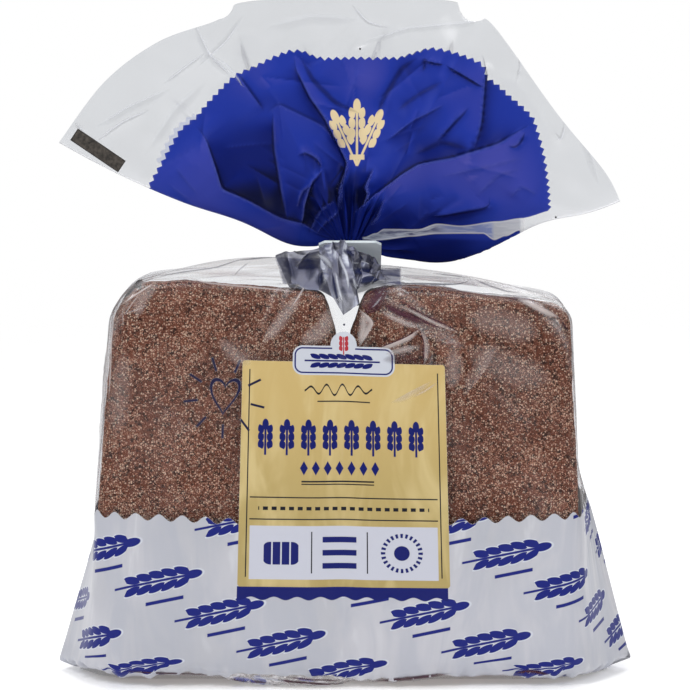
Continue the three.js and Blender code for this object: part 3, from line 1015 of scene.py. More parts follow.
def makeNeckFolds():
    rows, columns = neckFolds["rows"], neckFolds["columns"]
    curves = np.array(neckCurves) * mm
    spot = np.linspace(0, len(curves) - 1, columns)
    k = np.minimum(spot.astype(int), len(curves) - 2)
    share = smooth(0.1, 0.9, spot - k)[:, None, None]
    four = curves[k] * (1 - share) + curves[k + 1] * share
    t = np.linspace(0, 1, rows)[:, None, None]
    place = (1 - t) ** 3 * four[:, 0] + 3 * t * (1 - t) ** 2 * four[:, 1]
    place = place + 3 * t**2 * (1 - t) * four[:, 2] + t**3 * four[:, 3]
    across = np.repeat(np.linspace(0, 1, columns)[None] * neckFolds["width"], rows, 0)
    along = np.repeat(np.linspace(0, 1, rows)[:, None] * neckFolds["length"], columns, 1)
    draw = np.random.default_rng(neckFolds["seed"])
    folds = []
    for _ in range(neckFolds["creases"]):
        x0, y0 = neckFolds["width"] * draw.random(), neckFolds["length"] * 0.7 * draw.random()
        x1, y1 = x0 + draw.normal(0, 3.5 * mm), y0 + (6 + 16 * draw.random()) * mm
        height = (0.5 + 1.3 * draw.random()) * mm * (1 if draw.random() < 0.65 else -1)
        left, right = ((0.7 + 3.2 * draw.random() ** 1.5) * mm for _ in range(2))
        light = 0.3 + 0.5 * draw.random()
        paintedLights = (light, -light) if draw.random() < 0.5 else (-light, light)
        folds.append((((x0, y0), (x1, y1)), height, left, right, *paintedLights))
    relief, line, paintedLight = creases(across, along, folds)
    held = smooth(0, 0.12, along / neckFolds["length"])
    place = place - gridNormals(place) * (relief * held)[..., None]
    foremost = np.where(place[..., 2] > neckFolds["clipHeight"], neckFolds["clipFront"], 0)
    place[..., 1] = np.minimum(place[..., 1], foremost)
    acrossShare, alongShare = across / neckFolds["width"], along / neckFolds["length"]
    # painted shade: darker to the lower right, along the left edge, and down the middle
    paintedLight = paintedLight - 0.35 * smooth(0.55, 1.0, acrossShare) * smooth(0.3, 0.8, alongShare)
    paintedLight -= 0.5 * (1 - smooth(0.08, 0.3, acrossShare)) * smooth(0.2, 0.6, alongShare)
    paintedLight -= 0.4 * bell(acrossShare - 0.52, 0.12) * smooth(0.4, 0.8, alongShare)
    marks = {"crease": line * neckFolds["creaseMark"], "paintedLight": np.clip(paintedLight, -1, 1)}
    maps = {"film": np.stack([across, along], -1)}
    return gridPiece("neckFolds", columns, rows, place, maps, marks), place


# thin strips that lie on the film along its folds, painted with shade and with glints, as the camera sees
# them,
# across and up in mm: points, width and how much painted light (above 0) or painted shade (below 0) there is
# on the left and on the right of the line, and its ink: 0 is warm, 1 is cold, and 2 is the blue print's

bodyFolds = [
    ([(16.3, 134.5), (20.6, 132.2), (27.9, 127.9), (35.3, 124.5), (42.6, 120.6)], 0.4, 0.6, -0.5, -0.9, 0),
    ([(18.1, 131.8), (24.7, 128.5), (30.8, 125.3), (36.9, 122.8), (41.0, 121.4)], 0.8, 0.8, 0.5, 0.5, 0),
    ([(19.4, 129.9), (24.7, 127.2), (29.5, 124.6), (35.3, 122.6)], 0.5, 0.5, -0.9, -0.9, 0),
    ([(12.7, 132.2), (18.5, 128.8), (23.8, 126.4), (28.5, 124.4)], 1.6, 1.5, -0.9, -0.9, 0),
    ([(12.2, 129.6), (17.3, 126.9), (21.8, 124.9), (27.3, 123.0)], 0.6, 1.6, 0.4, 0.5, 0),
    ([(15.4, 139.2), (11.8, 133.9), (7.4, 127.9)], 3.4, 3.4, -0.8, -0.85, 0),
    ([(13.2, 134.6), (11.4, 131.9), (9.2, 130.0)], 0.5, 0.5, 0.35, 0.3, 1),
    ([(14.0, 138.4), (7.9, 134.8), (6.0, 132.5), (7.6, 128.1), (14.5, 130.6)], 0.35, 0.5, -0.6, -0.7, 0),
    ([(4.6, 130.2), (10.6, 125.2), (4.8, 115.8)], 0.5, 2.2, 0.5, 0.8, 0),
    ([(6.0, 128.9), (6.9, 123.5), (4.8, 117.2)], 1.8, 1.8, 0.6, 0.55, 0),
    ([(11.3, 115.6), (19.1, 118.5), (22.7, 120.2), (26.8, 123.0)], 0.7, 2.0, -0.85, 0.8, 0),
    ([(26.2, 123.4), (28.4, 117.9), (27.9, 109.5)], 2.0, 0.7, 0.5, -0.85, 0),
    ([(14.0, 113.6), (20.0, 115.4), (26.0, 116.6)], 1.4, 1.4, 0.5, 0.5, 0),
    ([(13.0, 111.6), (20.0, 112.5), (27.0, 111.5)], 2.2, 2.2, -0.3, -0.3, 0),
    ([(38.5, 116.5), (38.9, 109.0), (37.7, 101.0)], 3.8, 3.8, 0.24, 0.24, 0),
    ([(55.0, 118.0), (50.0, 108.0), (42.0, 98.0)], 4.0, 5.0, 0.0, 0.2, 0),
    ([(-4.9, 150.0), (-11.7, 142.4), (-15.8, 135.1), (-20.2, 128.6)], 0.4, 0.5, 0.7, 0.9, 0),
    ([(-7.5, 146.6), (-13.7, 138.8), (-18.2, 132.0)], 0.3, 0.35, 0.5, 0.5, 0),
    ([(-9.6, 147.1), (-14.8, 140.3), (-20.6, 134.4)], 0.3, 0.3, 0.4, 0.4, 0),
    ([(-4.4, 149.2), (-10.1, 144.0), (-14.8, 136.7)], 0.4, 0.4, -0.5, -0.4, 1),
    ([(-14.8, 136.5), (-22.6, 126.3), (-29.8, 116.9)], 2.8, 2.4, 0.35, 0.3, 0),
    ([(-4.4, 131.4), (-7.5, 123.1), (-16.5, 117.2)], 4.2, 3.4, 0.3, 0.3, 0),
    ([(-33.0, 110.0), (-39.0, 113.0), (-45.0, 120.0)], 3.0, 3.0, 0.22, 0.22, 0),
    ([(-66.8, 139.6), (-73.3, 135.6), (-80.0, 131.0)], 0.45, 0.45, 0.8, 0.8, 0),
    ([(-72.6, 135.8), (-76.2, 130.9), (-79.0, 126.8)], 0.4, 0.4, 0.5, 0.5, 0),
    ([(-69.0, 131.8), (-74.9, 129.1), (-79.6, 127.6)], 0.45, 0.45, 0.4, 0.4, 0),
    ([(-80.0, 133.0), (-81.9, 127.3), (-82.9, 119.5), (-83.2, 109.1), (-84.0, 96.0)], 0.35, 0.4, 0.7, 0.7, 0),
    ([(-79.1, 130.5), (-78.7, 122.6)], 0.3, 0.3, 0.35, 0.35, 0),
    ([(-66.6, 138.8), (-72.8, 133.0), (-74.0, 126.0)], 2.8, 2.8, 0.3, 0.3, 0),
    ([(-81.6, 131.0), (-84.0, 122.0), (-85.2, 108.5), (-86.4, 92.0)], 1.5, 1.3, 0.4, 0.4, 0),
    ([(-85.4, 114.3), (-86.0, 106.5), (-86.8, 96.0)], 0.5, 0.5, -0.5, -0.5, 0),
    ([(-64, 140.6), (-57.2, 141.2), (-54.1, 140.6), (-49.9, 139.2), (-42.1, 138.4), (-33.2, 137.6),
      (-22.8, 136.6), (-14, 135.1)], 0.45, 0.45, 0.6, 0.6, 0),
    ([(-68.7, 141.0), (-57.2, 143.0), (-45.7, 144.5), (-38.5, 147.0), (-32.0, 148.4)],
     0.35, 0.35, -0.5, -0.5, 1),
    ([(-39.8, 141.2), (-37.4, 144.0), (-33.6, 146.8)], 0.4, 0.4, -0.3, -0.3, 1),
    ([(-40, 146.9), (-25.4, 148.4), (-14.5, 149.0)], 0.4, 0.4, -0.7, -0.7, 1),
    ([(-56, 142.0), (-43.7, 142.6), (-28, 140.6)], 2.2, 2.2, 0.35, 0.35, 0),
    ([(59.6, 134.6), (66.3, 131.7), (71.5, 128.8), (76.6, 126.6)], 1.1, 1.6, 0.75, 0.8, 0),
    ([(63.4, 136.3), (71.1, 134.5), (75.8, 132.9), (78.2, 130.8), (79.4, 127.0)], 0.4, 0.4, 0.5, 0.5, 0),
    ([(76.9, 125.5), (79.1, 122.7), (80.3, 119.0)], 0.4, 0.4, -0.7, -0.7, 0),
    ([(80.2, 119.0), (80.9, 109.1), (81.2, 96.0)], 0.45, 0.45, 0.6, 0.6, 0),
    ([(11.6, 139.7), (20.6, 138.9), (30.8, 138.8), (39.7, 138.5), (42.8, 139.2), (46.0, 141.0)],
     0.4, 0.4, -0.8, -0.8, 1),
    ([(45.0, 141.0), (49.2, 138.8), (54.0, 137.2), (57.3, 136.0), (64.5, 135.4)], 0.4, 0.4, -0.6, -0.6, 1),
    ([(49, 137.6), (56.8, 136.0), (65.4, 134.4)], 1.4, 1.4, 0.4, 0.4, 0),
    ([(30.2, 142.6), (37.3, 141.8), (46.0, 140.6)], 0.35, 0.35, -0.5, -0.5, 1),
    ([(22.6, 140.9), (32.8, 140.2), (41.6, 139.4)], 0.6, 0.6, 0.5, 0.5, 0),
    ([(16.0, 137.7), (26.7, 137.7), (35.3, 137.0), (43.2, 135.6)], 0.45, 0.45, 0.5, 0.5, 0),
    ([(16, 96.5), (23, 100.5), (31, 104.5)], 0.6, 2.4, 0.0, 0.35, 0),
    ([(24, 98.5), (29, 101), (33, 104)], 0.4, 0.6, 0.4, 0.4, 0),
    ([(42, 127), (54, 125.5), (70, 120)], 6.5, 6.5, 0.2, 0.2, 0),
    ([(42, 116), (60, 108), (74, 104)], 7, 7, 0.16, 0.16, 0),
    ([(-78, 116), (-80, 100), (-81, 84)], 4.5, 5.5, 0.15, 0.15, 0),
    ([(-80, 1.2), (-66, 0.6), (-55, 0.3), (-44, -0.5)], 0.4, 0.5, -0.6, -0.9, 0),
    ([(-47, -0.9), (-36, -2.2), (-26, -3.0)], 0.5, 0.5, -0.8, -0.8, 0),
    ([(-30, -1.2), (-18, -2.6), (-6, -3.6), (4, -3.2)], 0.5, 0.5, -0.9, -0.9, 0),
    ([(-22, -0.8), (-12, -1.8), (0, -2.2)], 0.4, 0.5, -0.7, -0.7, 0),
    ([(-42, -1.4), (-36, -1.8), (-31, -2.8)], 1.0, 1.0, 0.8, 0.8, 2),
    ([(-18, -1.2), (-14, -1.8), (-10, -2.4)], 0.7, 0.7, 0.7, 0.7, 2),
    ([(-40, -2.6), (-24, -3.8), (-8, -4.2)], 0.4, 0.5, 0.6, 0.6, 1),
    ([(-34, -0.6), (-26, -1.6), (-20, -2.6)], 0.4, 0.5, 0.6, 0.6, 1),
    ([(8, -2.6), (22, -1.6), (38, 0.4)], 0.9, 0.7, -0.9, -0.8, 0),
    ([(60, 0.4), (66, 1.4), (73, -0.2)], 0.8, 0.8, -0.9, -0.9, 0),
]

bundleFolds = [
    ([(-4.6, 143.6), (-3.4, 136.7), (-1.9, 130.6)], 0.5, 0.8, -0.9, -1.0, 1),
    ([(-3.4, 143.4), (-2.2, 137.2), (-0.6, 131.6)], 0.5, 0.8, 0.6, 0.7, 1),
    ([(-1.2, 138.6), (0.2, 134.8), (0.9, 131.8)], 1.0, 1.2, -0.4, -0.4, 1),
    ([(4.4, 139.0), (8.8, 141.2), (12.4, 139.6)], 1.7, 1.7, -1.3, -1.3, 1),
    ([(2.3, 143.8), (6.0, 142.8), (10.3, 144.2)], 1.9, 1.6, -0.9, -1.1, 1),
    ([(-1.8, 151.0), (3.4, 149.4), (8.2, 147.2)], 1.3, 1.2, -0.8, -0.9, 1),
    ([(2.1, 146.2), (6.0, 146.8), (9.8, 145.6)], 0.5, 0.7, 0.8, 0.9, 1),
    ([(-2.4, 150.8), (-1.2, 146.1), (0.8, 142.4), (1.4, 136.0)], 0.6, 0.8, 0.7, 0.8, 1),
    ([(-10.4, 149.6), (-6.5, 147.6), (-4.3, 143.4)], 1.1, 1.1, 0.6, 0.6, 1),
    ([(-14, 149.0), (-12, 144.5), (-13, 139.5)], 2.4, 2.4, -0.55, -0.4, 1),
    ([(-19.5, 148.4), (-18.2, 144.0), (-17.4, 139.8)], 2.0, 2.4, -0.35, -0.55, 1),
    ([(-8.4, 143.0), (-9.4, 140.0), (-9.0, 137.6)], 1.8, 1.8, -0.7, -0.7, 1),
    ([(2.6, 141.5), (3.8, 138.0), (5.4, 134.8)], 0.9, 0.7, 0.6, 0.5, 1),
    ([(-6.2, 146.6), (-7.4, 142.6), (-6.8, 138.4)], 1.3, 1.3, 0.35, 0.3, 1),
]


# more pale glints on the clear part of the fan, mm across and up from the neck
clearFolds = [
    ([(-55, 79), (-49, 66), (-40, 58)], 0.6, 2.0, 0.45, -0.14, 1),
    ([(-37, 81), (-43, 72), (-54, 62)], 0.5, 1.6, 0.4, -0.12, 1),
    ([(-47, 66), (-42, 62), (-37, 55)], 0.7, 0.7, 0.5, 0.2, 1),
    ([(-90, 43), (-78, 50), (-62, 56)], 0.5, 2.4, 0.4, -0.1, 1),
    ([(2, 70), (20, 76), (42, 78), (50, 84)], 0.6, 2.0, 0.4, -0.1, 1),
    ([(63, 66), (66, 76), (58, 80)], 0.6, 1.4, 0.3, -0.12, 1),
    ([(78, 50), (84, 34), (88, 20)], 0.5, 2.4, 0.3, -0.1, 1),
    ([(-72, 34), (-62, 48), (-50, 58)], 1.4, 3.0, 0.14, -0.1, 1),
    ([(-30, 76), (-14, 80), (4, 79)], 1.6, 3.0, 0.16, -0.08, 1),
]


def seenFromFront(place):
    # where points stand for the camera, across and up in the upright plane that it aims at
    rise = math.radians(view["elevation"])
    ahead = np.array([0, math.cos(rise), -math.sin(rise)])
    upward = np.array([0, math.sin(rise), math.cos(rise)])
    away = place - np.array([0, 0, view["aimHeight"]]) + view["distance"] * ahead
    scale = view["distance"] / (away @ ahead)
    return np.stack([away[..., 0] * scale, view["aimHeight"] + (away @ upward) * scale], -1)


def laidOn(grid, seen, spot):
    # the place on a grid of film that the camera sees at this spot
    r, c = np.unravel_index(np.argmin(((seen - spot) ** 2).sum(-1)), seen.shape[:2])
    r, c = float(r), float(c)
    rows, columns = seen.shape[:2]

    def around(values, r, c):
        k, n = int(min(max(r, 0), rows - 1.001)), int(min(max(c, 0), columns - 1.001))
        low = blend(values[k, n], values[k, n + 1], c - n)
        high = blend(values[k + 1, n], values[k + 1, n + 1], c - n)
        along = blend(values[k, n + 1] - values[k, n], values[k + 1, n + 1] - values[k + 1, n], r - k)
        return blend(low, high, r - k), high - low, along

    for _ in range(5):
        here, up, along = around(seen, r, c)
        size = along[0] * up[1] - along[1] * up[0]
        if abs(size) < 1e-12:
            break
        miss = spot - here
        c = min(max(c + min(max((miss[0] * up[1] - miss[1] * up[0]) / size, -1), 1), 0), columns - 1)
        r = min(max(r + min(max((along[0] * miss[1] - along[1] * miss[0]) / size, -1), 1), 0), rows - 1)
    return around(grid, r, c)[0]


foldPiece = {
    "lift": 0.25 * mm,         # in front of the film that it lies on
    "bundleLift": 0.7 * mm,
    "fanLift": 0.3 * mm,
    "fanWidth": 1.15,
    "rowLength": 0.9 * mm,
    "crest": 0.03,
    "taper": 0.3,              # of its length, at both ends
}


def evened(values):
    # each row but the first and the last is drawn towards its neighbours
    values[1:-1] = (values[:-2] + 2 * values[1:-1] + values[2:]) / 4


# a thin strip on the film along a fold, with painted light and shade across it
def makeFoldShadeStrip(grid, seen, points, wideLeft, wideRight, paintedLightLeft, paintedLightRight, cold, lift):
    points = np.array(points) * mm
    lengths = np.linalg.norm(np.diff(points, axis=0), axis=1)
    rows = max(9, int(lengths.sum() / foldPiece["rowLength"]))
    run = np.concatenate([[0], np.cumsum(lengths)]) / lengths.sum()
    share = np.linspace(0, 1, rows)
    line = np.stack([np.interp(share, run, points[:, 0]), np.interp(share, run, points[:, 1])], -1)
    for _ in range(3):
        evened(line)
    ahead = np.gradient(line, axis=0)
    ahead /= np.linalg.norm(ahead, axis=1, keepdims=True)
    leftward = np.stack([-ahead[:, 1], ahead[:, 0]], -1)
    ending, crest = foldPiece["taper"], foldPiece["crest"]
    taper = (smooth(0, ending, share) * smooth(0, ending, 1 - share)) ** 0.5
    steps = [(-wideLeft, 0), (-0.5 * wideLeft, 0.7 * paintedLightLeft), (-crest, paintedLightLeft), (crest, paintedLightRight),
             (0.5 * wideRight, 0.7 * paintedLightRight), (wideRight, 0)]
    place = np.empty((rows, len(steps), 3))
    paintedLight = np.empty((rows, len(steps)))
    for k, (offset, value) in enumerate(steps):
        spots = line - leftward * (offset * mm * taper)[:, None]
        place[:, k] = [laidOn(grid, seen, spot) for spot in spots]
        paintedLight[:, k] = value * taper
    for _ in range(2):
        evened(place)
    place[..., 1] -= lift
    marks = {"paintedLight": paintedLight, "cold": np.full(paintedLight.shape, float(cold))}
    flat = np.stack(np.meshgrid(share, np.linspace(0, 1, len(steps)), indexing="ij"), -1)
    return gridPiece("fold", len(steps), rows, place, {"film": flat}, marks)


def fanLines():
    # a crisp strip along each fold of the fan: painted shade and light where there is print, a painted pale
    # glint where there is none
    lines = []
    for points, _, _, _, paintedLightLeft, paintedLightRight in frontFolds:
        if abs(paintedLightLeft) + abs(paintedLightRight) > 0:
            wide = foldPiece["fanWidth"]
            lines.append((points, wide, wide, paintedLightLeft, paintedLightRight, 2))
        else:
            lines.append((points, 0.5, 0.9, 0.5, -0.16, 1))
    return lines + clearFolds


def makeFoldShadeStrips(bodyGrid, bundleGrid, fanGrid, fanFlat):
    made = []
    for grid, seen, folds, lift in (
        (bodyGrid, seenFromFront(bodyGrid), bodyFolds, foldPiece["lift"]),
        (bundleGrid, seenFromFront(bundleGrid), bundleFolds, foldPiece["bundleLift"]),
        (fanGrid, fanFlat, fanLines(), foldPiece["fanLift"]),
    ):
        made += [makeFoldShadeStrip(grid, seen, *fold, lift) for fold in folds]
    clearSelection()
    for part in made:
        part.select_set(True)
    bpy.context.view_layer.objects.active = made[0]
    bpy.ops.object.join()
    piece = bpy.context.object
    piece.name = piece.data.name = "foldShadeStrips"
    return piece


print("film")
bagPiece, bodyGrid = makeBodyFilm()
fanPiece, fanGrid, fanFlat = makeFanFilm()
neckPiece, bundleGrid = makeNeckFolds()
foldShadePiece = makeFoldShadeStrips(bodyGrid, bundleGrid, fanGrid, fanFlat)
print("film vertices", len(bagPiece.data.vertices), len(fanPiece.data.vertices))


bread = {
    "height": 134 * mm,
    "thickness": 20.6 * mm,
    "lowerBehind": 3.3 * mm,   # each bread stands this much lower than the one before it
    "gapDepth": 27 * mm,
    "pitch": 21.1 * mm,
    "bottomCorner": 6 * mm,
    "rim": 3.8 * mm,
    "voxel": 1.25 * mm,
    "lumps": (16 * mm, 1, 1.1 * mm),       # size, detail and strength
    "crumb": (2.4 * mm, 2, 0.55 * mm),
    "slit": 1.6 * mm,
    "slitHalf": 0.9 * mm,      # half its width
    "slitSway": 0.3 * mm,
    "seatZ": 3.0 * mm,         # the block's top stands this much above its height
    "underside": 6.0 * mm,     # the breads stand clear of the raised front edge of the film
    "clearance": 1.0 * mm,
}

# for each stack: left and right at the foot and at the top, corner radii at the top, how far the inner corner
# leans away from the other stack, and the height of the top along it, x and mm
stacks = {
    "left": {
        "foot": (-86.4 * mm, -1.2 * mm),
        "top": (-80.4 * mm, -1.8 * mm),
        "corners": (10.5 * mm, 4 * mm),
        "opening": -4.6 * mm,
        "tops": [(-80, 134.2), (-73, 137.8), (-56, 139), (-43, 137.3), (-35, 136.8), (-20, 135.8),
                 (-5, 135.0)],
    },
    "right": {
        "foot": (-0.4 * mm, 81.5 * mm),
        "top": (-0.2 * mm, 77.4 * mm),
        "corners": (4 * mm, 6.5 * mm),
        "opening": 5.6 * mm,
        "tops": [(4, 133.6), (8, 135.4), (14, 136.6), (22, 136.8), (36, 135.8), (44, 134.4), (60, 132),
                 (70, 131), (76, 130.6)],
    },
}

roomGrid = {"rows": 90, "columns": 241, "reach": 105 * mm, "ends": 0.5 * mm, "least": 2 * mm}


def keepInside(places):
    # nothing of a bread stands through the film: its depth is held to the film's at each height
    rows, columns = roomGrid["rows"], roomGrid["columns"]
    heights = np.linspace(roomGrid["ends"], pack["height"] - roomGrid["ends"], rows)
    across = np.linspace(-roomGrid["reach"], roomGrid["reach"], columns)
    depth = np.empty((rows, columns))
    for k, z in enumerate(heights):
        line = halfSection(blockSection(z))
        depth[k] = np.interp(across, line[:, 0], -line[:, 1], left=0, right=0)
    row = (places[:, 2] - heights[0]) / (heights[-1] - heights[0]) * (rows - 1)
    column = (places[:, 0] - across[0]) / (across[-1] - across[0]) * (columns - 1)
    row, column = np.clip(row, 0, rows - 1.001), np.clip(column, 0, columns - 1.001)
    r, c = row.astype(int), column.astype(int)
    low = blend(depth[r, c], depth[r, c + 1], column - c)
    high = blend(depth[r + 1, c], depth[r + 1, c + 1], column - c)
    room = np.maximum(blend(low, high, row - r) - bread["clearance"], roomGrid["least"])
    places[:, 1] = np.clip(places[:, 1], -room, room)


def selectEdges(mesh, wanted):
    # in edit mode: the edges whose two ends are as wanted
    bpy.ops.mesh.select_all(action="DESELECT")
    bpy.ops.object.mode_set(mode="OBJECT")
    for edge in mesh.edges:
        edge.select = wanted(*(mesh.vertices[k].co for k in edge.vertices))
    bpy.ops.object.mode_set(mode="EDIT")


def breadBlock(name, stack, middleX, middleY):
    # a block with rounded corners, as wide at its foot and at its top as the stack
    (footLeft, footRight), (topLeft, topRight) = stack["foot"], stack["top"]
    height, thickness = bread["height"], bread["thickness"]
    clearSelection()
    bpy.ops.mesh.primitive_cube_add(size=1, location=(middleX, middleY, 0.5 * height + bread["seatZ"]))
    piece = bpy.context.object
    piece.name = piece.data.name = name
    piece.scale = (footRight - footLeft, thickness, height)
    bpy.ops.object.transform_apply(location=True, rotation=True, scale=True)
    mesh = piece.data
    for vertex in mesh.vertices:
        if vertex.co.z > height / 2:
            vertex.co.x = topLeft if vertex.co.x < middleX else topRight
        else:
            vertex.co.z = bread["underside"]

    def atCorner(a, b):
        beside = (a.x - middleX) * sideX > 0.25 * (footRight - footLeft)
        return abs(a.y - b.y) > 0.5 * thickness and beside and (a.z - height / 2) * sideZ > 0.25 * height

    def onFace(a, b):
        return abs(a.y - b.y) < 0.1 * thickness

    bpy.ops.object.mode_set(mode="EDIT")
    bpy.ops.mesh.select_mode(type="EDGE")
    (leftRound, rightRound), lowRound = stack["corners"], bread["bottomCorner"]
    for sideX, sideZ, radius in (
        (-1, 1, leftRound), (1, 1, rightRound), (-1, -1, lowRound), (1, -1, lowRound),
    ):
        selectEdges(mesh, atCorner)
        bpy.ops.mesh.bevel(offset=radius, segments=8, affect="EDGES")
    selectEdges(mesh, onFace)
    bpy.ops.mesh.bevel(offset=bread["rim"], segments=4, affect="EDGES")
    bpy.ops.object.mode_set(mode="OBJECT")
    return piece


def roughen(piece):
    # an even net of voxels, pushed in and out by lumps and by crumb
    voxels = piece.modifiers.new("voxels", "REMESH")
    voxels.mode = "VOXEL"
    voxels.voxel_size = bread["voxel"]
    bpy.ops.object.modifier_apply(modifier="voxels")
    for label in ("lumps", "crumb"):
        size, depth, strength = bread[label]
        texture = bpy.data.textures.new(label, "CLOUDS")
        texture.noise_scale = size
        texture.noise_depth = depth
        lift = piece.modifiers.new(label, "DISPLACE")
        lift.texture = texture
        lift.texture_coords = "LOCAL"
        lift.strength = strength
        lift.mid_level = 0.5
        bpy.ops.object.modifier_apply(modifier=label)


def makeBread(name, stack, middleY, lower):
    height, opening = bread["height"], stack["opening"]
    outward = -1 if opening < 0 else 1
    middleX, far = sum(stack["foot"]) / 2, (stack["foot"][1] - stack["foot"][0]) / 2
    piece = breadBlock(name, stack, middleX, middleY)
    roughen(piece)
    mesh = piece.data
    places = readAll(mesh.vertices, "co", 3)

    # the cut that halves each bread, seen as a thin gap round its edge
    sway = bread["slitSway"] * np.sin(places[:, 0] * 90)
    near = np.clip(1 - np.abs(places[:, 1] - middleY - sway) / bread["slitHalf"], 0, 1)
    inward = np.array([middleX, middleY, height / 2]) - places
    inward[:, 1] = 0
    inward /= np.linalg.norm(inward, axis=1)[:, None]
    places += inward * (bread["slit"] * near)[:, None]

    # the inner side leans away from the other stack near the top, and the outer side follows the film
    inner = smooth(0.2, 1.0, (places[:, 0] - middleX) / far * -outward)
    share = np.clip((places[:, 2] - height + bread["gapDepth"]) / bread["gapDepth"], 0, 1)
    places[:, 0] += opening * inner * share**2
    lean = pack["leftLean"] if outward < 0 else pack["rightLean"]
    foot, crest = (side[0 if outward < 0 else 1] for side in (stack["foot"], stack["top"]))
    straight = foot + (crest - foot) * np.clip(places[:, 2] / height, 0, 1)
    followed = foot - outward * lean * np.maximum(0, places[:, 2] - pack["leanFrom"])
    outer = smooth(0.55, 0.98, (places[:, 0] - middleX) / far * outward)
    places[:, 0] += (followed - straight) * outer
    top = heightAlong(stack["tops"], places[:, 0]) - lower
    places[:, 2] += (top - height) * smooth(0.3, 1.0, places[:, 2] / height)
    keepInside(places)
    mesh.vertices.foreach_set("co", places.ravel())
    mesh.update()
    bpy.ops.object.shade_smooth()
    return piece


print("breads")
breads = []
for stackName, stack in stacks.items():
    for k in range(3):
        middleY, lower = (k - 1) * bread["pitch"], k * bread["lowerBehind"]
        breads.append(makeBread(f"{stackName}Bread{k + 1}", stack, middleY, lower))


def grainRow(along, across, pitch, length, width, lean, spread, pairs):
    # a rye ear lying along the first coordinate: pairs of grains in two leaning rows, above 0 inside a grain
    side = abs(across)
    cell = along + side * lean
    local = cell.wrap(pitch / 2)
    a = local / (length / 2)
    b = (side - spread) / (width / 2)
    grain = 1.0 - (a * a + b * b + 0.5 * a * b)
    return grain - 9.0 * abs(cell - local).above((pairs / 2) * pitch, 0.01)


print("materials")


crumbInk = {
    "low": (108, 57, 40),
    "high": (136, 78, 57),
    "patch": (114, 64, 46),
    "pore": (40, 16, 9),
}

# bran and flour: scale, size and share of the grains, and their colour
grains = [(1350.0, 0.38, 0.44, (255, 224, 198)), (2300.0, 0.44, 0.42, (232, 178, 150))]


def rye():
    material, start = newMaterial("ryeBread")
    place = objectPlace(start)
    broad = noise(start, place, 26.0, 2.0)
    patches = noise(start, place, 110.0, 3.0, 0.6)
    pores = noise(start, place, 600.0, 3.0, 0.7)
    base = broad.fade(0.3, 0.7).tint(colour(*crumbInk["low"]), colour(*crumbInk["high"]))
    base = patches.fade(0.35, 0.7).tint(base, colour(*crumbInk["patch"]))
    base = (0.9 * pores.fade(0.47, 0.62)).tint(base, colour(*crumbInk["pore"]))
    relief = patches * 0.6 + pores * 0.6
    # pale grains of two sizes and no round shape, more of them in some places than in others
    sway = noise(start, place, 1500.0).output(1)
    sway = start.node("VectorMath", {"operation": "SUBTRACT"}, {0: sway, 1: (0.5, 0.5, 0.5)})
    sway = start.node("VectorMath", {"operation": "SCALE"}, {0: sway, "Scale": 0.00075})
    swayed = start.node("VectorMath", {"operation": "ADD"}, {0: place, 1: sway})
    for scale, size, share, pale in grains:
        inputs = {"Vector": swayed, "Scale": scale, "Randomness": 1.0}
        away = start.node("TexVoronoi", {}, inputs)
        chance = start.node("SeparateColor", {}, {0: away.output(1)})
        wanted = (chance - 0.35 * patches.fade(0.3, 0.7)).above(1.0 - share - 0.17, 0.06)
        grain = away.below(size, 0.2) * wanted
        base = (0.9 * grain).tint(base, colour(*pale))
        relief = relief + 0.35 * grain
    bump = start.node("Bump", {}, {"Strength": 0.9, "Distance": 0.0009, "Height": relief})
    inputs = {"Base Color": base, "Roughness": 0.72 + 0.2 * pores, "Normal": bump, "Specular IOR Level": 0.3}
    shaderOutput(start, start.node("BsdfPrincipled", {}, inputs))
    return material


shades = {
    "blue": (8, 20, 102),
    "fanBlue": (33, 55, 160),
    "fanShaded": (7, 26, 110),
    "fanDeepShade": (1, 7, 50),
    "fanLit": (78, 80, 172),
    "neckBlue": (52, 60, 112),
    "neckBandShadowed": (62, 66, 104),
    "neckMid": (74, 80, 118),
    "neckDarkLayersAndShade": (12, 16, 46),
    "neckPaleLayersAndSheen": (216, 221, 234),
    "white": (187, 188, 195),
    "whiteLight": (198, 198, 205),
    "whiteSheenGrey": (175, 179, 191),
    "whiteSheenPale": (214, 215, 220),
    "skirtBlue": (18, 30, 118),
    "halo": (205, 209, 219),
    "yellow": (206, 179, 118),
    "yellowLow": (178, 158, 102),
    "yellowSheen": (222, 202, 148),
    "panel": (200, 202, 214),
    "dark": (22, 22, 34),
    "red": (176, 34, 48),
    "heart": (20, 22, 62),
    "gold": (236, 215, 170),
    "haze": (236, 234, 236),
    "creaseWhiteningAndSheen": (236, 236, 240),
    "filmShadow": (74, 52, 66),
    "lipWarm": (128, 108, 100),
    "lipPale": (222, 220, 224),
    "lipBlue": (46, 58, 140),
    "lipRed": (200, 110, 100),
    "fanClear": (236, 238, 242),
    "glimpse": (112, 140, 208),
    "mark": (40, 36, 32),
    "markRubbed": (84, 77, 70),
    "dot": (24, 24, 28),
    "marginGrey": (186, 194, 212),
    "marginDark": (70, 80, 130),
    "marginBlue": (128, 148, 212),
    "marginPale": (176, 188, 224),
    "marginClear": (214, 218, 226),
    "marginHazy": (196, 202, 214),
    "marginEdge": (222, 226, 236),
    "foldShadeWarm": (76, 44, 58),
    "foldShadeCold": (30, 36, 70),
    "foldShadeInk": (1, 5, 50),
    "glintWarm": (216, 206, 204),
    "glintCold": (226, 230, 240),
    "glintInk": (84, 98, 194),
}
ink = {name: colour(*shade) for name, shade in shades.items()}

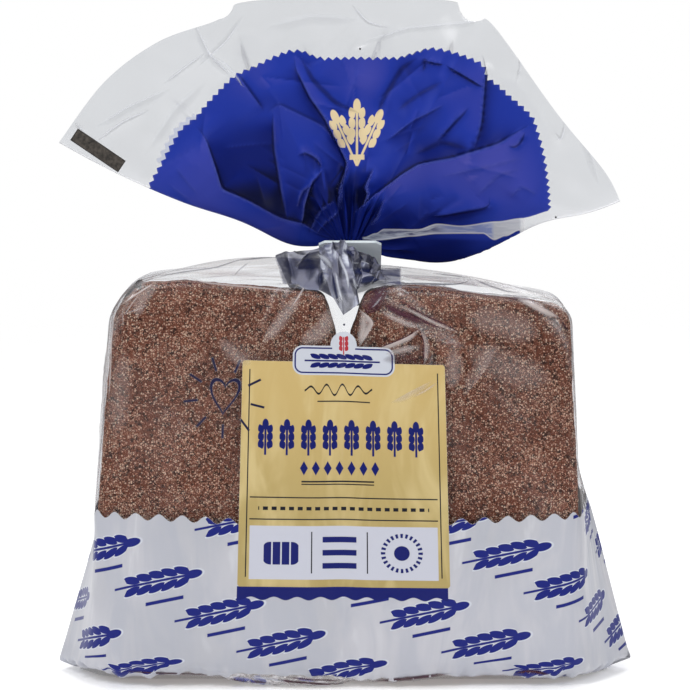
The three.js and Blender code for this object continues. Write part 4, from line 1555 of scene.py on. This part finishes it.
# what the film adds to the haze all over and where it lies loose, the colour of what shows through it, the
# gloss and the roughness of its print, and how wavy its surface is
finishes = {
    "body": {"haze": 0.0, "looseHaze": 0.026, "through": (0.935, 0.94, 0.95, 1.0),
             "gloss": 0.2, "rough": 0.3, "waviness": 0.35},
    "fan": {"haze": 0.04, "looseHaze": 0.03, "through": (0.85, 0.86, 0.875, 1.0),
            "gloss": 0.1, "rough": 0.5, "waviness": 0.06},
    "neck": {"haze": 0.0, "looseHaze": 0.0, "through": (0.9, 0.905, 0.915, 1.0),
             "gloss": 0.4, "rough": 0.3, "waviness": 0.2},
}
clearRough = 0.2


def filmShader(start, printed, inkColour, finish):
    # clear film: what shows through it, its haze and its gloss, with ink laid on it
    place, crease, paintedLight = objectPlace(start), attribute(start, "crease"), attribute(start, "paintedLight")
    cloud = noise(start, place, 34.0, 3.0, 0.6)
    streak = noise(start, place, 160.0, 2.0, 0.5)
    loose = noise(start, place, 26.0, 4.0, 0.6, 0.8).fade(0.4, 0.62)
    # haze from loose film and streaks, stress whitening with a painted highlight along the crests, and
    # painted sheen where the painted light is above 0
    haze = 0.002 + finish["looseHaze"] * loose + 0.015 * streak.fade(0.5, 0.8) + 0.25 * crease
    haze = haze + finish["haze"] + 0.22 * paintedLight.most(0.0) * (1.0 - printed)
    fresnel = start.node("Fresnel", {}, {"IOR": 1.5})
    gloss = (0.7 * fresnel - 0.021).most(0.004).least(0.26)
    cover = (haze + gloss).most(printed * 0.975).least(1.0)
    # the ink whitens faintly along the crests: stress whitening with a painted highlight
    base = printed.tint(ink["haze"], (0.012 * crease).tint(inkColour, ink["creaseWhiteningAndSheen"]))
    height = 0.5 * streak + 0.5 * cloud
    inputs = {"Strength": finish["waviness"], "Distance": 0.0012, "Height": height}
    bump = start.node("Bump", {}, inputs)
    metal = (1.0 - printed) * (1.0 - haze.least(1.0)) * 0.7
    rough = clearRough + (finish["rough"] - clearRough) * printed + 0.1 * haze
    inputs = {"Base Color": base, "Roughness": rough, "Metallic": metal, "Normal": bump}
    inputs["Specular IOR Level"] = finish["gloss"]
    shine = start.node("BsdfPrincipled", {}, inputs)
    through = start.node("BsdfTransparent", {}, {"Color": finish["through"]})
    shaderOutput(start, start.node("MixShader", {}, {0: cover, 1: through, 2: shine}))


def filmPlace(start, name="film"):
    # the place on the film in mm, from its own map
    flat = start.node("UVMap", {"uv_map": name})
    across = start.node("SeparateXYZ", {}, {0: flat})
    return across * 1000.0, across.output(1) * 1000.0


def box(a, b, left, right, low, high, radius=0.0, soft=0.12):
    # 1 inside a box with rounded corners; the second result is the distance outside its edge
    da = (abs(a - (left + right) / 2) - ((right - left) / 2 - radius)).most(0.0)
    db = (abs(b - (low + high) / 2) - ((high - low) / 2 - radius)).most(0.0)
    distance = (da * da + db * db) ** 0.5 - radius
    return distance.below(0.0, soft), distance


skirt = {
    "edge": 56.9,              # film distances in mm, of the wavy edge and of the lower one
    "waveHeight": 1.15,
    "waveLength": 8.0645,
    "lowEdge": -3.0,
    "rise": 0.2126,            # the rows of ears climb to the right
    "rowPitch": 15.186,
    "columnPitch": 50.0,
    "rowShift": 21.4286,       # each row stands this far beside the one below it
}


def skirtPrint(start, u, v):
    # white skirt with a wavy top edge and rows of dark ears, each over a short dash
    wave = start.math("COSINE", u * (math.tau / skirt["waveLength"]))
    edge = skirt["edge"] + 0.047 * abs(u).most(35.0) + 0.0115 * u + skirt["waveHeight"] * wave
    ragged = noise(start, joined(start, u * 0.13, 0.0), 1.0, 3.0, 0.6)
    lowEdge = skirt["lowEdge"] + 3.2 * u.fade(-72.0, -58.0) * (46.0 - u).fade(0.0, 8.0)
    lowEdge = lowEdge + 3.8 * u.fade(-46.0, -34.0) * (4.0 - u).fade(0.0, 10.0)
    lowEdge = lowEdge + 0.9 * (44.0 - u).fade(0.0, 12.0) * u.fade(-4.0, 6.0) + 1.1 * (ragged - 0.5)
    white = (edge - v).above(0.0, 0.3) * (v - lowEdge).above(0.0, 0.4)
    b = v - u * skirt["rise"] + 4.0
    row = start.math("FLOOR", b / skirt["rowPitch"])
    b = b - (row + 0.5) * skirt["rowPitch"]
    a = (u + row * skirt["rowShift"]).wrap(skirt["columnPitch"] / 2)
    earLine = b - 1.9
    ear = grainRow(a, earLine, 4.4, 5.6, 3.3, 0.55, 2.35 - 0.045 * abs(a), 5)
    stem = earLine.within(0.42, 0.2) * a.between(-16.5, 12.0, 0.4)
    tip = 1.0 - ((a - 11.6) / 3.3) ** 2.0 - (earLine / 1.6) ** 2.0
    dash = (a - 1.5).within(6.6, 0.3) * (b + 5.4).within(0.62, 0.2)
    motif = ear.above(0.08, 0.14).most(stem).most(tip.above(0.1, 0.14)).most(dash)
    halo = ear.above(-0.4, 0.2).most(tip.above(-0.4, 0.3))
    return white, motif, halo


def labelRows(start, a, b):
    # the label's plain ornaments in dark and in blue ink: a and b are across it and up the film, in mm
    frame = (abs(a) - 32.3).within(0.2, 0.12) * b.between(39.0, 111.2)
    rules = (b - 66.9).within(0.22, 0.12).most((b - 59.3).within(0.22, 0.12)) * a.within(31.4)
    # a row of upright ears where the large line stands
    across, up = (a + 4.65).wrap(3.65), b - 87.2
    ears = grainRow(up, across, 2.7, 3.7, 2.1, -0.5, 1.5, 3).above(0.08, 0.2)
    tip = 1.0 - (across / 1.15) ** 2.0 - ((up - 5.0) / 2.1) ** 2.0
    stem = across.within(0.36, 0.12) * up.between(-5.6, 5.0, 0.3)
    ears = ears.most(tip.above(0.1, 0.2)).most(stem) * (a + 1.0).within(29.2)
    # lozenges, two strokes, a light flourish over a line, and a row of small dashes
    lozenge = abs((a + 1.4).wrap(2.0)) / 1.35 + abs(b - 77.2) / 2.5
    lozenges = lozenge.below(1.0, 0.14) * (a + 1.4).within(14.0)
    strokes = (b - 72.6 - 0.006 * a).within(0.28, 0.12).most((b - 71.6).within(0.2, 0.12))
    strokes = strokes * (a + 2.0).within(12.2)
    swirl = 104.6 + 1.9 * start.math("SINE", (a + 1.8) * 1.15) * (1.0 - ((a + 1.8) / 14.0) ** 2.0)
    flourish = (b - swirl).within(0.36, 0.2) * (a + 1.8).within(11.6)
    underline = (b - 100.6 + 0.0016 * (a + 1.0) ** 2.0).within(0.22, 0.12) * a.between(-9.0, 9.0)
    dashes = a.wrap(1.45).within(0.85, 0.12) * (b - 63.1).within(0.62, 0.12) * a.within(28.5)
    dark = frame.most(rules).most(flourish).most(underline).most(dashes).most(strokes)
    return dark, ears.most(lozenges)


def labelPanel(start, a, b):
    # in the pale panel: two dividing lines, then a sliced loaf, three bars, and a ring of dots round a disc
    panel, _ = box(a, b, -31.2, 31.2, 38.2, 57.0, 0.2)
    dividers = (abs(a + 1.4) - 9.2).within(0.2, 0.12) * b.between(40.4, 55.0)
    loaf, _ = box(a, b, -26.8, -14.6, 43.4, 51.4, 2.4)
    loaf = loaf * (1.0 - (a + 20.7).wrap(1.5).within(0.24, 0.12))
    bars = (b - 47.6).wrap(2.3).within(1.0, 0.15) * (b - 47.6).within(6.6) * (a + 1.4).within(5.6)
    across, up = a - 19.2, b - 47.7
    wide = (across * across + up * up) ** 0.5
    turn = start.math("ARCTAN2", up, across) * (24 / math.tau)
    ticks = turn.wrap(0.5).within(0.26, 0.1) * (wide - 6.2).within(0.75, 0.12)
    return panel, dividers, loaf.most(bars).most(ticks).most(wide.below(2.6, 0.15))


def labelPlate(a, b):
    # the plate at the label's top edge, with its round crest: a lying ear and a small standing one
    plate, outside = box(a, b, -17.6, 17.6, 109.6, 119.8, 3.4)
    crest = (a ** 2.0 + (b - 120.2) ** 2.0) ** 0.5
    line = (outside + 0.85).within(0.26, 0.12) * crest.above(4.2, 0.15)
    ear = grainRow(a, b - 114.6, 3.0, 3.7, 2.0, 0.5, 1.5, 7).above(0.1, 0.2)
    stem = (b - 114.6).within(0.3, 0.12) * a.between(-13.5, 12.5, 0.3)
    small = grainRow(b - 120.2, a, 1.7, 2.3, 1.3, -0.5, 1.0, 3).above(0.05, 0.3)
    small = small.most(a.within(0.22, 0.12) * (b - 120.0).between(-3.2, 3.0, 0.3))
    return plate.most(crest.below(4.6, 0.15)), line.most(ear).most(stem), small


def heartPrint(start, u, v):
    # a heart drawn with one thin line, and short rays round it
    hu, hv = u + 41.7, v - 101.2
    a = (hu - 0.1 * hv) / 4.9
    b = (hv - 0.2) / 4.7
    lobe = b - 1.05 * abs(a) ** 0.62 + 0.32
    outline = ((a * a + lobe * lobe) ** 0.5 - 1.0).within(0.1, 0.03)
    wide = (hu * hu + hv * hv) ** 0.5
    sector = (start.math("ARCTAN2", hv, hu) - math.radians(107)).wrap(math.radians(20))
    rays = (wide * start.math("SINE", sector)).within(0.4, 0.12) * wide.between(9.3, 14.2, 0.3)
    return outline.most(rays)


def labelInks(start, u, v, sheenStreaks, base):
    # the front's own print over the colour that is there, and where it covers the film
    a = (u + 0.45) / (1.0 + (114.0 - v) * 0.00078)
    label, _ = box(a, v, -34.9, 34.9, 35.6, 114.2, 1.0)
    dark, blue = labelRows(start, a, v)
    panel, dividers, motifs = labelPanel(start, a, v)
    plate, plateBlue, plateRed = labelPlate(a, v)
    wavy = 31.5 + 0.6 * start.math("COSINE", a * (math.tau / 7.6))
    strip = (a + 0.4).within(34.6) * (v - wavy).above(0.0, 0.2) * v.below(35.7)
    heart = heartPrint(start, u, v).most(((u + 0.3) ** 2.0 + (v - 127.2) ** 2.0).below(0.16, 0.12))
    yellow = v.fade(45.0, 112.0).tint(ink["yellowLow"], ink["yellow"])
    # painted sheen in soft pale streaks over the yellow
    yellow = (0.6 * sheenStreaks.fade(0.42, 0.68)).tint(yellow, ink["yellowSheen"])
    for place, shade in (
        (strip, ink["blue"]),
        (label, yellow),
        (panel * label, ink["panel"]),
        (blue.most(motifs) * label, ink["blue"]),
        (dark.most(dividers) * label, ink["dark"]),
        (plate, ink["halo"]),
        (plateBlue * plate, ink["blue"]),
        (plateRed * plate, ink["red"]),
        (heart, ink["heart"]),
    ):
        base = place.tint(base, shade)
    return base, label.most(plate).most(strip).most(heart)


def neckBand(start, place, v):
    # the lower end of the blue band, thin and see-through round the neck
    x = start.node("SeparateXYZ", {}, {0: place})
    x, z = x * 1000.0, x.output(2) * 1000.0
    ragged = noise(start, place, 120.0, 3.0, 0.6)
    slant = x - 0.42 * (148.0 - z)
    rightPart = (z.below(144.4, 0.8) * x.below(19.8, 1.0)).most(x.below(9.0, 2.0))
    band = slant.above(-24.6, 0.8) * rightPart * v.above(139.5, 1.5)
    # painted shade: ragged, and stronger to the right of the slanted edge
    shadowed = (0.3 + 0.7 * ragged.fade(0.4, 0.62)) * (0.5 + 0.5 * slant.above(-22.4, 0.5))
    return band, shadowed


def bodyFilmMaterial(name, withLabel):
    material, start = newMaterial(name)
    u, v = filmPlace(start)
    place, paintedLight = objectPlace(start), attribute(start, "paintedLight")
    white, motif, halo = skirtPrint(start, u, v)
    base = noise(start, place, 22.0, 2.0, 0.5).fade(0.35, 0.65).tint(ink["white"], ink["whiteLight"])
    # painted sheen: long soft streaks of bluish grey and of pale white over the film
    sheenStreaks = noise(start, joined(start, u * 0.075, v * 0.022), 1.0, 3.0, 0.6, 0.8)
    base = (0.5 * sheenStreaks.fade(0.4, 0.62)).tint(base, ink["whiteSheenGrey"])
    base = (0.5 * sheenStreaks.below(0.36, 0.08)).tint(base, ink["whiteSheenPale"])
    base = halo.tint(base, ink["halo"])
    base = motif.tint(base, ink["skirtBlue"])
    if withLabel:
        base, printed = labelInks(start, u, v, sheenStreaks, base)
        cover = white.most(printed)
    else:
        band, shadowed = neckBand(start, place, v)
        base = band.tint(base, shadowed.tint(ink["neckBlue"], ink["neckBandShadowed"]))
        cover = white.most(band * (0.66 + 0.26 * shadowed))
    # crumpled film under the skirt: pale folds with bits of print
    lip = v.below(5.8, 0.5) * v.above(-5.0, 1.0) * (u + 22.0).within(34.0, 16.0) * (1.0 - white)
    folds = noise(start, joined(start, u * 0.16, v * 0.55), 1.0, 3.0, 0.6, 1.5)
    bits = noise(start, joined(start, u * 0.12, v * 0.2, 3.0), 1.0, 2.0, 0.5)
    lipColour = folds.fade(0.35, 0.65).tint(ink["lipWarm"], ink["lipPale"])
    lipColour = (bits.above(0.62, 0.03) * (u + 10.0).within(22.0, 4.0)).tint(lipColour, ink["lipBlue"])
    lipColour = (bits.below(0.36, 0.03) * (u + 2.0).within(12.0, 4.0)).tint(lipColour, ink["lipRed"])
    base = lip.tint(base, lipColour)
    cover = cover.most(lip * (0.35 + 0.5 * folds.fade(0.4, 0.6)))
    # painted shadow on the film beside its folds, where the painted light is below 0
    shadow = (-1.0 * paintedLight).most(0.0).least(1.0) * (1.0 - cover.fade(0.5, 0.9))
    base = shadow.tint(base, ink["filmShadow"])
    filmShader(start, cover.most(0.62 * shadow), base, finishes["body"])
    return material


fanPrint = {
    "toothHalf": 1.425,        # half a tooth of the band's notched edge, and the height of a tooth, mm
    "toothHeight": 1.25,
    "toothFoot": -0.6,
    "glimpse": 1.7,            # the back layer's edge shows so far beyond the front one
    "glimpseFrom": math.radians(140),
    "glimpseTo": math.radians(157),
    "markTurn": (0.826, 0.563),
}

# the unprinted margin above the roll of the right fold: its upper and its lower edge, mm from the neck
marginTop = [(5, 2.6), (9, 4.0), (12, 5.6), (24, 5.4), (31, 7.3), (39, 6.5), (52, 8.1), (60, 9.2), (73, 12.2)]
marginLow = [(5, 1.8), (9, 1.4), (22, 2.8), (31, 3.6), (47, 3.6), (51, 1.4), (55, 2.8), (60, 4.8), (61, -22)]


def sheafPrint(x, z):
    # a small golden sheaf of three ears
    sheaf = (x - 2.4).within(2.6, 0.3) * (z - 31.0).within(0.9, 0.2)
    for lean, length in ((0.0, 1.0), (0.42, 0.86), (-0.42, 0.86)):
        ex, ez = x - 2.4, z - 28.0
        across = ex * math.cos(lean) - ez * math.sin(lean)
        up = ez * math.cos(lean) + ex * math.sin(lean) - 14.0 * length
        ear = grainRow(up, across, 3.5, 4.6, 2.4, -0.55, 1.75, 3).above(0.1, 0.2)
        stem = across.within(0.4, 0.2) * up.between(-14.0 * length, 7.0, 0.3)
        tip = 1.0 - (across / 1.4) ** 2.0 - ((up - 6.8) / 2.8) ** 2.0
        sheaf = sheaf.most(ear).most(stem).most(tip.above(0.1, 0.2))
    return sheaf


def machineMark(start, x, z):
    # the dark mark that the packing machine reads, near the left tip, rubbed by the rollers
    (c, s), mx, mz = fanPrint["markTurn"], x + 88.9, z - 33.1
    along, up = c * mx - s * mz, s * mx + c * mz
    rub = noise(start, objectPlace(start), 700.0, 3.0, 0.7)
    rubbed = along.within(9.8, 0.2) * up.within(2.2, 0.2) * rub.fade(0.3, 0.7)
    return along.within(10.2, 0.2) * up.within(2.55, 0.2), rubbed.tint(ink["mark"], ink["markRubbed"])


def marginPrint(start, x, z):
    # two layers, creased and partly seen through one another, then print of the layer behind, then clear film
    upper, lower = x.follow(marginTop), x.follow(marginLow)
    margin = (upper - z).above(0.0, 0.25) * (z - lower).above(0.0, 0.25) * x.above(4.6, 0.6)
    edges = (upper - z).below(0.45, 0.25).most((z - lower).below(0.45, 0.25))
    streaky = noise(start, joined(start, x * 0.09, z * 0.5), 1.0, 3.0, 0.6, 1.2)
    greyBlue = streaky.fade(0.42, 0.6).tint(ink["marginGrey"], ink["marginDark"])
    paleBlue = streaky.fade(0.4, 0.62).tint(ink["marginBlue"], ink["marginPale"])
    clear = streaky.fade(0.35, 0.65).tint(ink["marginClear"], ink["marginHazy"])
    shade = x.fade(29.0, 35.0).tint(greyBlue, paleBlue)
    shade = x.above(50.5, 1.2).tint(shade, clear)
    return margin, edges, shade


def fanMaterial():
    material, start = newMaterial("fanPrint")
    _, v = filmPlace(start)
    x, z = filmPlace(start, "plane")
    arc, paintedLight = attribute(start, "arc") * 1000.0, attribute(start, "paintedLight")
    front = attribute(start, "front").above(0.5)
    tooth = abs(arc.wrap(fanPrint["toothHalf"])) * (fanPrint["toothHeight"] / fanPrint["toothHalf"])
    reach = (fan["filmAtNeck"] + fan["bandEdge"]) / mm + fanPrint["toothFoot"] + tooth
    # the back layer's edge shows beyond the front one near the left end
    turn = start.math("ARCTAN2", z, x).between(fanPrint["glimpseFrom"], fanPrint["glimpseTo"], 0.01)
    glimpse = (reach + fanPrint["glimpse"] - v).above(0.0, 0.15) * turn * front
    margin, marginEdges, marginShade = marginPrint(start, x, z)
    marginEnd = margin * x.above(60.4, 0.6)
    margin = margin * front
    marginShade = (marginEdges * margin).tint(marginShade, ink["marginEdge"])
    mark, markShade = machineMark(start, x, z)
    mark = mark * front
    # two tiny register dots
    dots = ((x - 3.5) ** 2.0 + (z - 68.8) ** 2.0).least((x - 72.7) ** 2.0 + (z - 9.5) ** 2.0)
    dots = dots.below(0.16, 0.1) * front
    band = (reach - v).above(0.0, 0.15) * (1.0 - margin.most(marginEnd))
    # the blue print with painted shade and painted light from the folds
    blue = (-1.0 * paintedLight).fade(-0.1, 0.85).tint(ink["fanBlue"], ink["fanShaded"])
    blue = (-1.0 * paintedLight).fade(1.0, 1.5).tint(blue, ink["fanDeepShade"])
    blue = paintedLight.most(0.0).tint(blue, ink["fanLit"])
    base = ink["fanClear"]
    for place, shade in (
        (0.8 * glimpse, ink["glimpse"]),
        (band, blue),
        (margin, marginShade),
        (sheafPrint(x, z) * front * band, ink["gold"]),
        (mark, markShade),
        (dots, ink["dot"]),
    ):
        base = place.tint(base, shade)
    cover = band.most(mark).most((0.86 - 0.66 * x.above(61.0, 1.5)) * margin).most(0.6 * glimpse).most(dots)
    filmShader(start, cover, base, finishes["fan"])
    return material


def neckMaterial():
    # several layers of thin blue print over one another, dark and light by turns: painted light and shade
    # from the folds, with random patches of layering
    material, start = newMaterial("neckFilm")
    patch = noise(start, objectPlace(start), 260.0, 3.0, 0.6, 0.8)
    paintedLightAndPatches = attribute(start, "paintedLight") + 0.9 * (patch - 0.5)
    base = (-1.0 * paintedLightAndPatches).fade(-0.1, 0.6).tint(ink["neckMid"], ink["neckDarkLayersAndShade"])
    base = paintedLightAndPatches.fade(0.25, 1.05).tint(base, ink["neckPaleLayersAndSheen"])
    filmShader(start, (0.78 + 0.3 * abs(paintedLightAndPatches)).least(0.98), base, finishes["neck"])
    return material


def foldShadeMaterial():
    # painted shade where a fold shades or doubles the film, a painted glint where it shines
    material, start = newMaterial("foldShadeAndGlint")
    paintedLight, cold = attribute(start, "paintedLight"), attribute(start, "cold")
    uneven = noise(start, objectPlace(start), 420.0, 2.0)
    onPrint = cold.above(1.5)
    dark = onPrint.tint(cold.above(0.5).tint(ink["foldShadeWarm"], ink["foldShadeCold"]), ink["foldShadeInk"])
    pale = onPrint.tint(cold.fade(0.0, 1.0).tint(ink["glintWarm"], ink["glintCold"]), ink["glintInk"])
    base = paintedLight.above(0.0, 0.02).tint(dark, pale)
    strength = (-1.05 * paintedLight).most(0.85 * paintedLight) * (0.8 + 0.4 * uneven) * (1.0 - 0.22 * onPrint)
    inputs = {"Base Color": base, "Roughness": 0.4, "Specular IOR Level": 0.12}
    shine = start.node("BsdfPrincipled", {}, inputs)
    through = start.node("BsdfTransparent", {}, {"Color": (1.0, 1.0, 1.0, 1.0)})
    inputs = {0: strength.least(0.95), 1: through, 2: shine}
    shaderOutput(start, start.node("MixShader", {}, inputs))
    return material


def clipMaterial():
    # pale plastic with a fine grain, a little worn, with a faint painted glow in its own colour
    material, start = newMaterial("clipPlastic")
    place = objectPlace(start)
    grain = noise(start, place, 900.0, 2.0)
    wear = noise(start, place, 90.0, 3.0)
    base = wear.fade(0.35, 0.7).tint(colour(205, 216, 222), colour(222, 230, 234))
    bump = start.node("Bump", {}, {"Strength": 0.25, "Distance": 0.0002, "Height": grain})
    inputs = {"Base Color": base, "Roughness": 0.38 + 0.15 * wear, "Normal": bump}
    # a faint painted glow, no lamp
    inputs.update({"Emission Color": base, "Emission Strength": 0.16})
    shaderOutput(start, start.node("BsdfPrincipled", {}, inputs))
    return material


ryeMaterial = rye()
for piece in breads:
    paint(piece, ryeMaterial)

labelZone = {
    "middle": -12 * mm,        # film distances round the label, its plate and the heart
    "half": 52 * mm,
    "low": 26 * mm,
    "high": 130 * mm,
}


def paintBag(piece):
    # the film's own print all round, and the label's on the faces in its zone
    paint(piece, bodyFilmMaterial("bagPrint", False))
    piece.data.materials.append(bodyFilmMaterial("labelPrint", True))
    mesh = piece.data
    firstLoop = readAll(mesh.polygons, "loop_start", 1, int)[:, 0]
    u, v = readAll(mesh.uv_layers["film"].uv, "vector", 2)[firstLoop].T
    near = np.abs(u - labelZone["middle"]) < labelZone["half"]
    near &= (v > labelZone["low"]) & (v < labelZone["high"])
    mesh.polygons.foreach_set("material_index", near.astype(int))
    mesh.update()


paintBag(bagPiece)
paint(fanPiece, fanMaterial())
paint(neckPiece, neckMaterial())
paint(foldShadePiece, foldShadeMaterial())

clipNode = bpy.data.objects["clip"]
clipFinish = clipMaterial()
if not clipNode.material_slots:
    clipNode.data.materials.append(None)
for finish in clipNode.material_slots:
    finish.link = "OBJECT"
    finish.material = clipFinish


# each new piece rides on the root body, and the bag's solid is hidden

for piece in [bagPiece, fanPiece, neckPiece, foldShadePiece, *breads]:
    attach(piece, "root")
    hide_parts("bag")


print("floor, light and camera")
studio = {
    "floorRadius": 1.4,
    "floorGlow": 0.25,
    "floorClear": 0.3,         # the floor thins out from here to nearly its edge
    "floorSink": 0.2 * mm,
    "skyTop": 0.6,
    "skyRim": 0.28,
    "aimAt": 0.1,              # the height that the lamps point at
    "sensorWidth": 36,
    "filmLayers": 24,          # how many layers of film light passes through
}


def floorMaterial():
    material, start = newMaterial("floorPaint")
    inputs = {"Base Color": (0.93, 0.93, 0.935, 1), "Roughness": 0.75}
    inputs.update({"Emission Color": (1, 1, 1, 1), "Emission Strength": studio["floorGlow"]})
    solid = start.node("BsdfPrincipled", {}, inputs)
    away = start.node("VectorMath", {"operation": "LENGTH"}, {0: objectPlace(start)}, out=1)
    thin = away.fade(studio["floorClear"], studio["floorRadius"] * 0.95)
    gone = start.node("BsdfTransparent")
    shaderOutput(start, start.node("MixShader", {}, {0: thin, 1: solid, 2: gone}))
    return material


clearSelection()
sink = (0, 0, -studio["floorSink"])
bpy.ops.mesh.primitive_circle_add(vertices=96, radius=studio["floorRadius"], fill_type="NGON", location=sink)
floor = bpy.context.object
floor.name = "floor"
bpy.ops.object.transform_apply(location=True)
paint(floor, floorMaterial())

scene = bpy.context.scene
world = bpy.data.worlds.new("studio")
scene.world = world
world.use_nodes = True
world.node_tree.nodes.clear()
sky = Wire(world.node_tree)
upward = sky.node("SeparateXYZ", {}, {0: sky.node("TexCoord", out=0)}, out=2)
glow = studio["skyRim"] + (studio["skyTop"] - studio["skyRim"]) * upward.fade(0.1, 0.9)
seen = sky.node("LightPath", out=0)
strength = seen + (1.0 - seen) * glow
background = sky.node("Background", {}, {"Color": (1, 1, 1, 1), "Strength": strength})
shaderOutput(sky, background, "OutputWorld")

# name, place, watts, width, height
softboxes = [
    ("keyBox", (-0.7, -1.0, 1.25), 9, 0.6, 0.6),
    ("fillBox", (1.2, -0.8, 0.7), 3, 0.3, 0.9),
    ("topBox", (0.0, 0.1, 1.3), 6, 0.9, 0.7),
    ("backBox", (0.5, 1.2, 0.9), 4, 0.6, 0.8),
]
for name, place, watts, width, height in softboxes:
    lamp = bpy.data.lights.new(name, "AREA")
    lamp.shape = "RECTANGLE"
    lamp.size, lamp.size_y, lamp.energy = width, height, watts
    holder = bpy.data.objects.new(name, lamp)
    scene.collection.objects.link(holder)
    holder.location = place
    aim = np.array([0, 0, studio["aimAt"]]) - np.array(place)
    pitch = math.atan2(math.hypot(aim[0], aim[1]), -aim[2])
    holder.rotation_euler = (pitch, 0, math.atan2(aim[1], aim[0]) - math.pi / 2)

elevation, back = math.radians(view["elevation"]), view["distance"]
eye = bpy.data.cameras.new("camera")
eye.sensor_width = studio["sensorWidth"]
eye.lens = studio["sensorWidth"] * back / view["field"]
camera = bpy.data.objects.new("camera", eye)
scene.collection.objects.link(camera)
camera.location = (0, -back * math.cos(elevation), view["aimHeight"] + back * math.sin(elevation))
camera.rotation_euler = (math.pi / 2 - elevation, 0, 0)
scene.camera = camera

scene.view_settings.view_transform = "Standard"
scene.cycles.transparent_max_bounces = studio["filmLayers"]
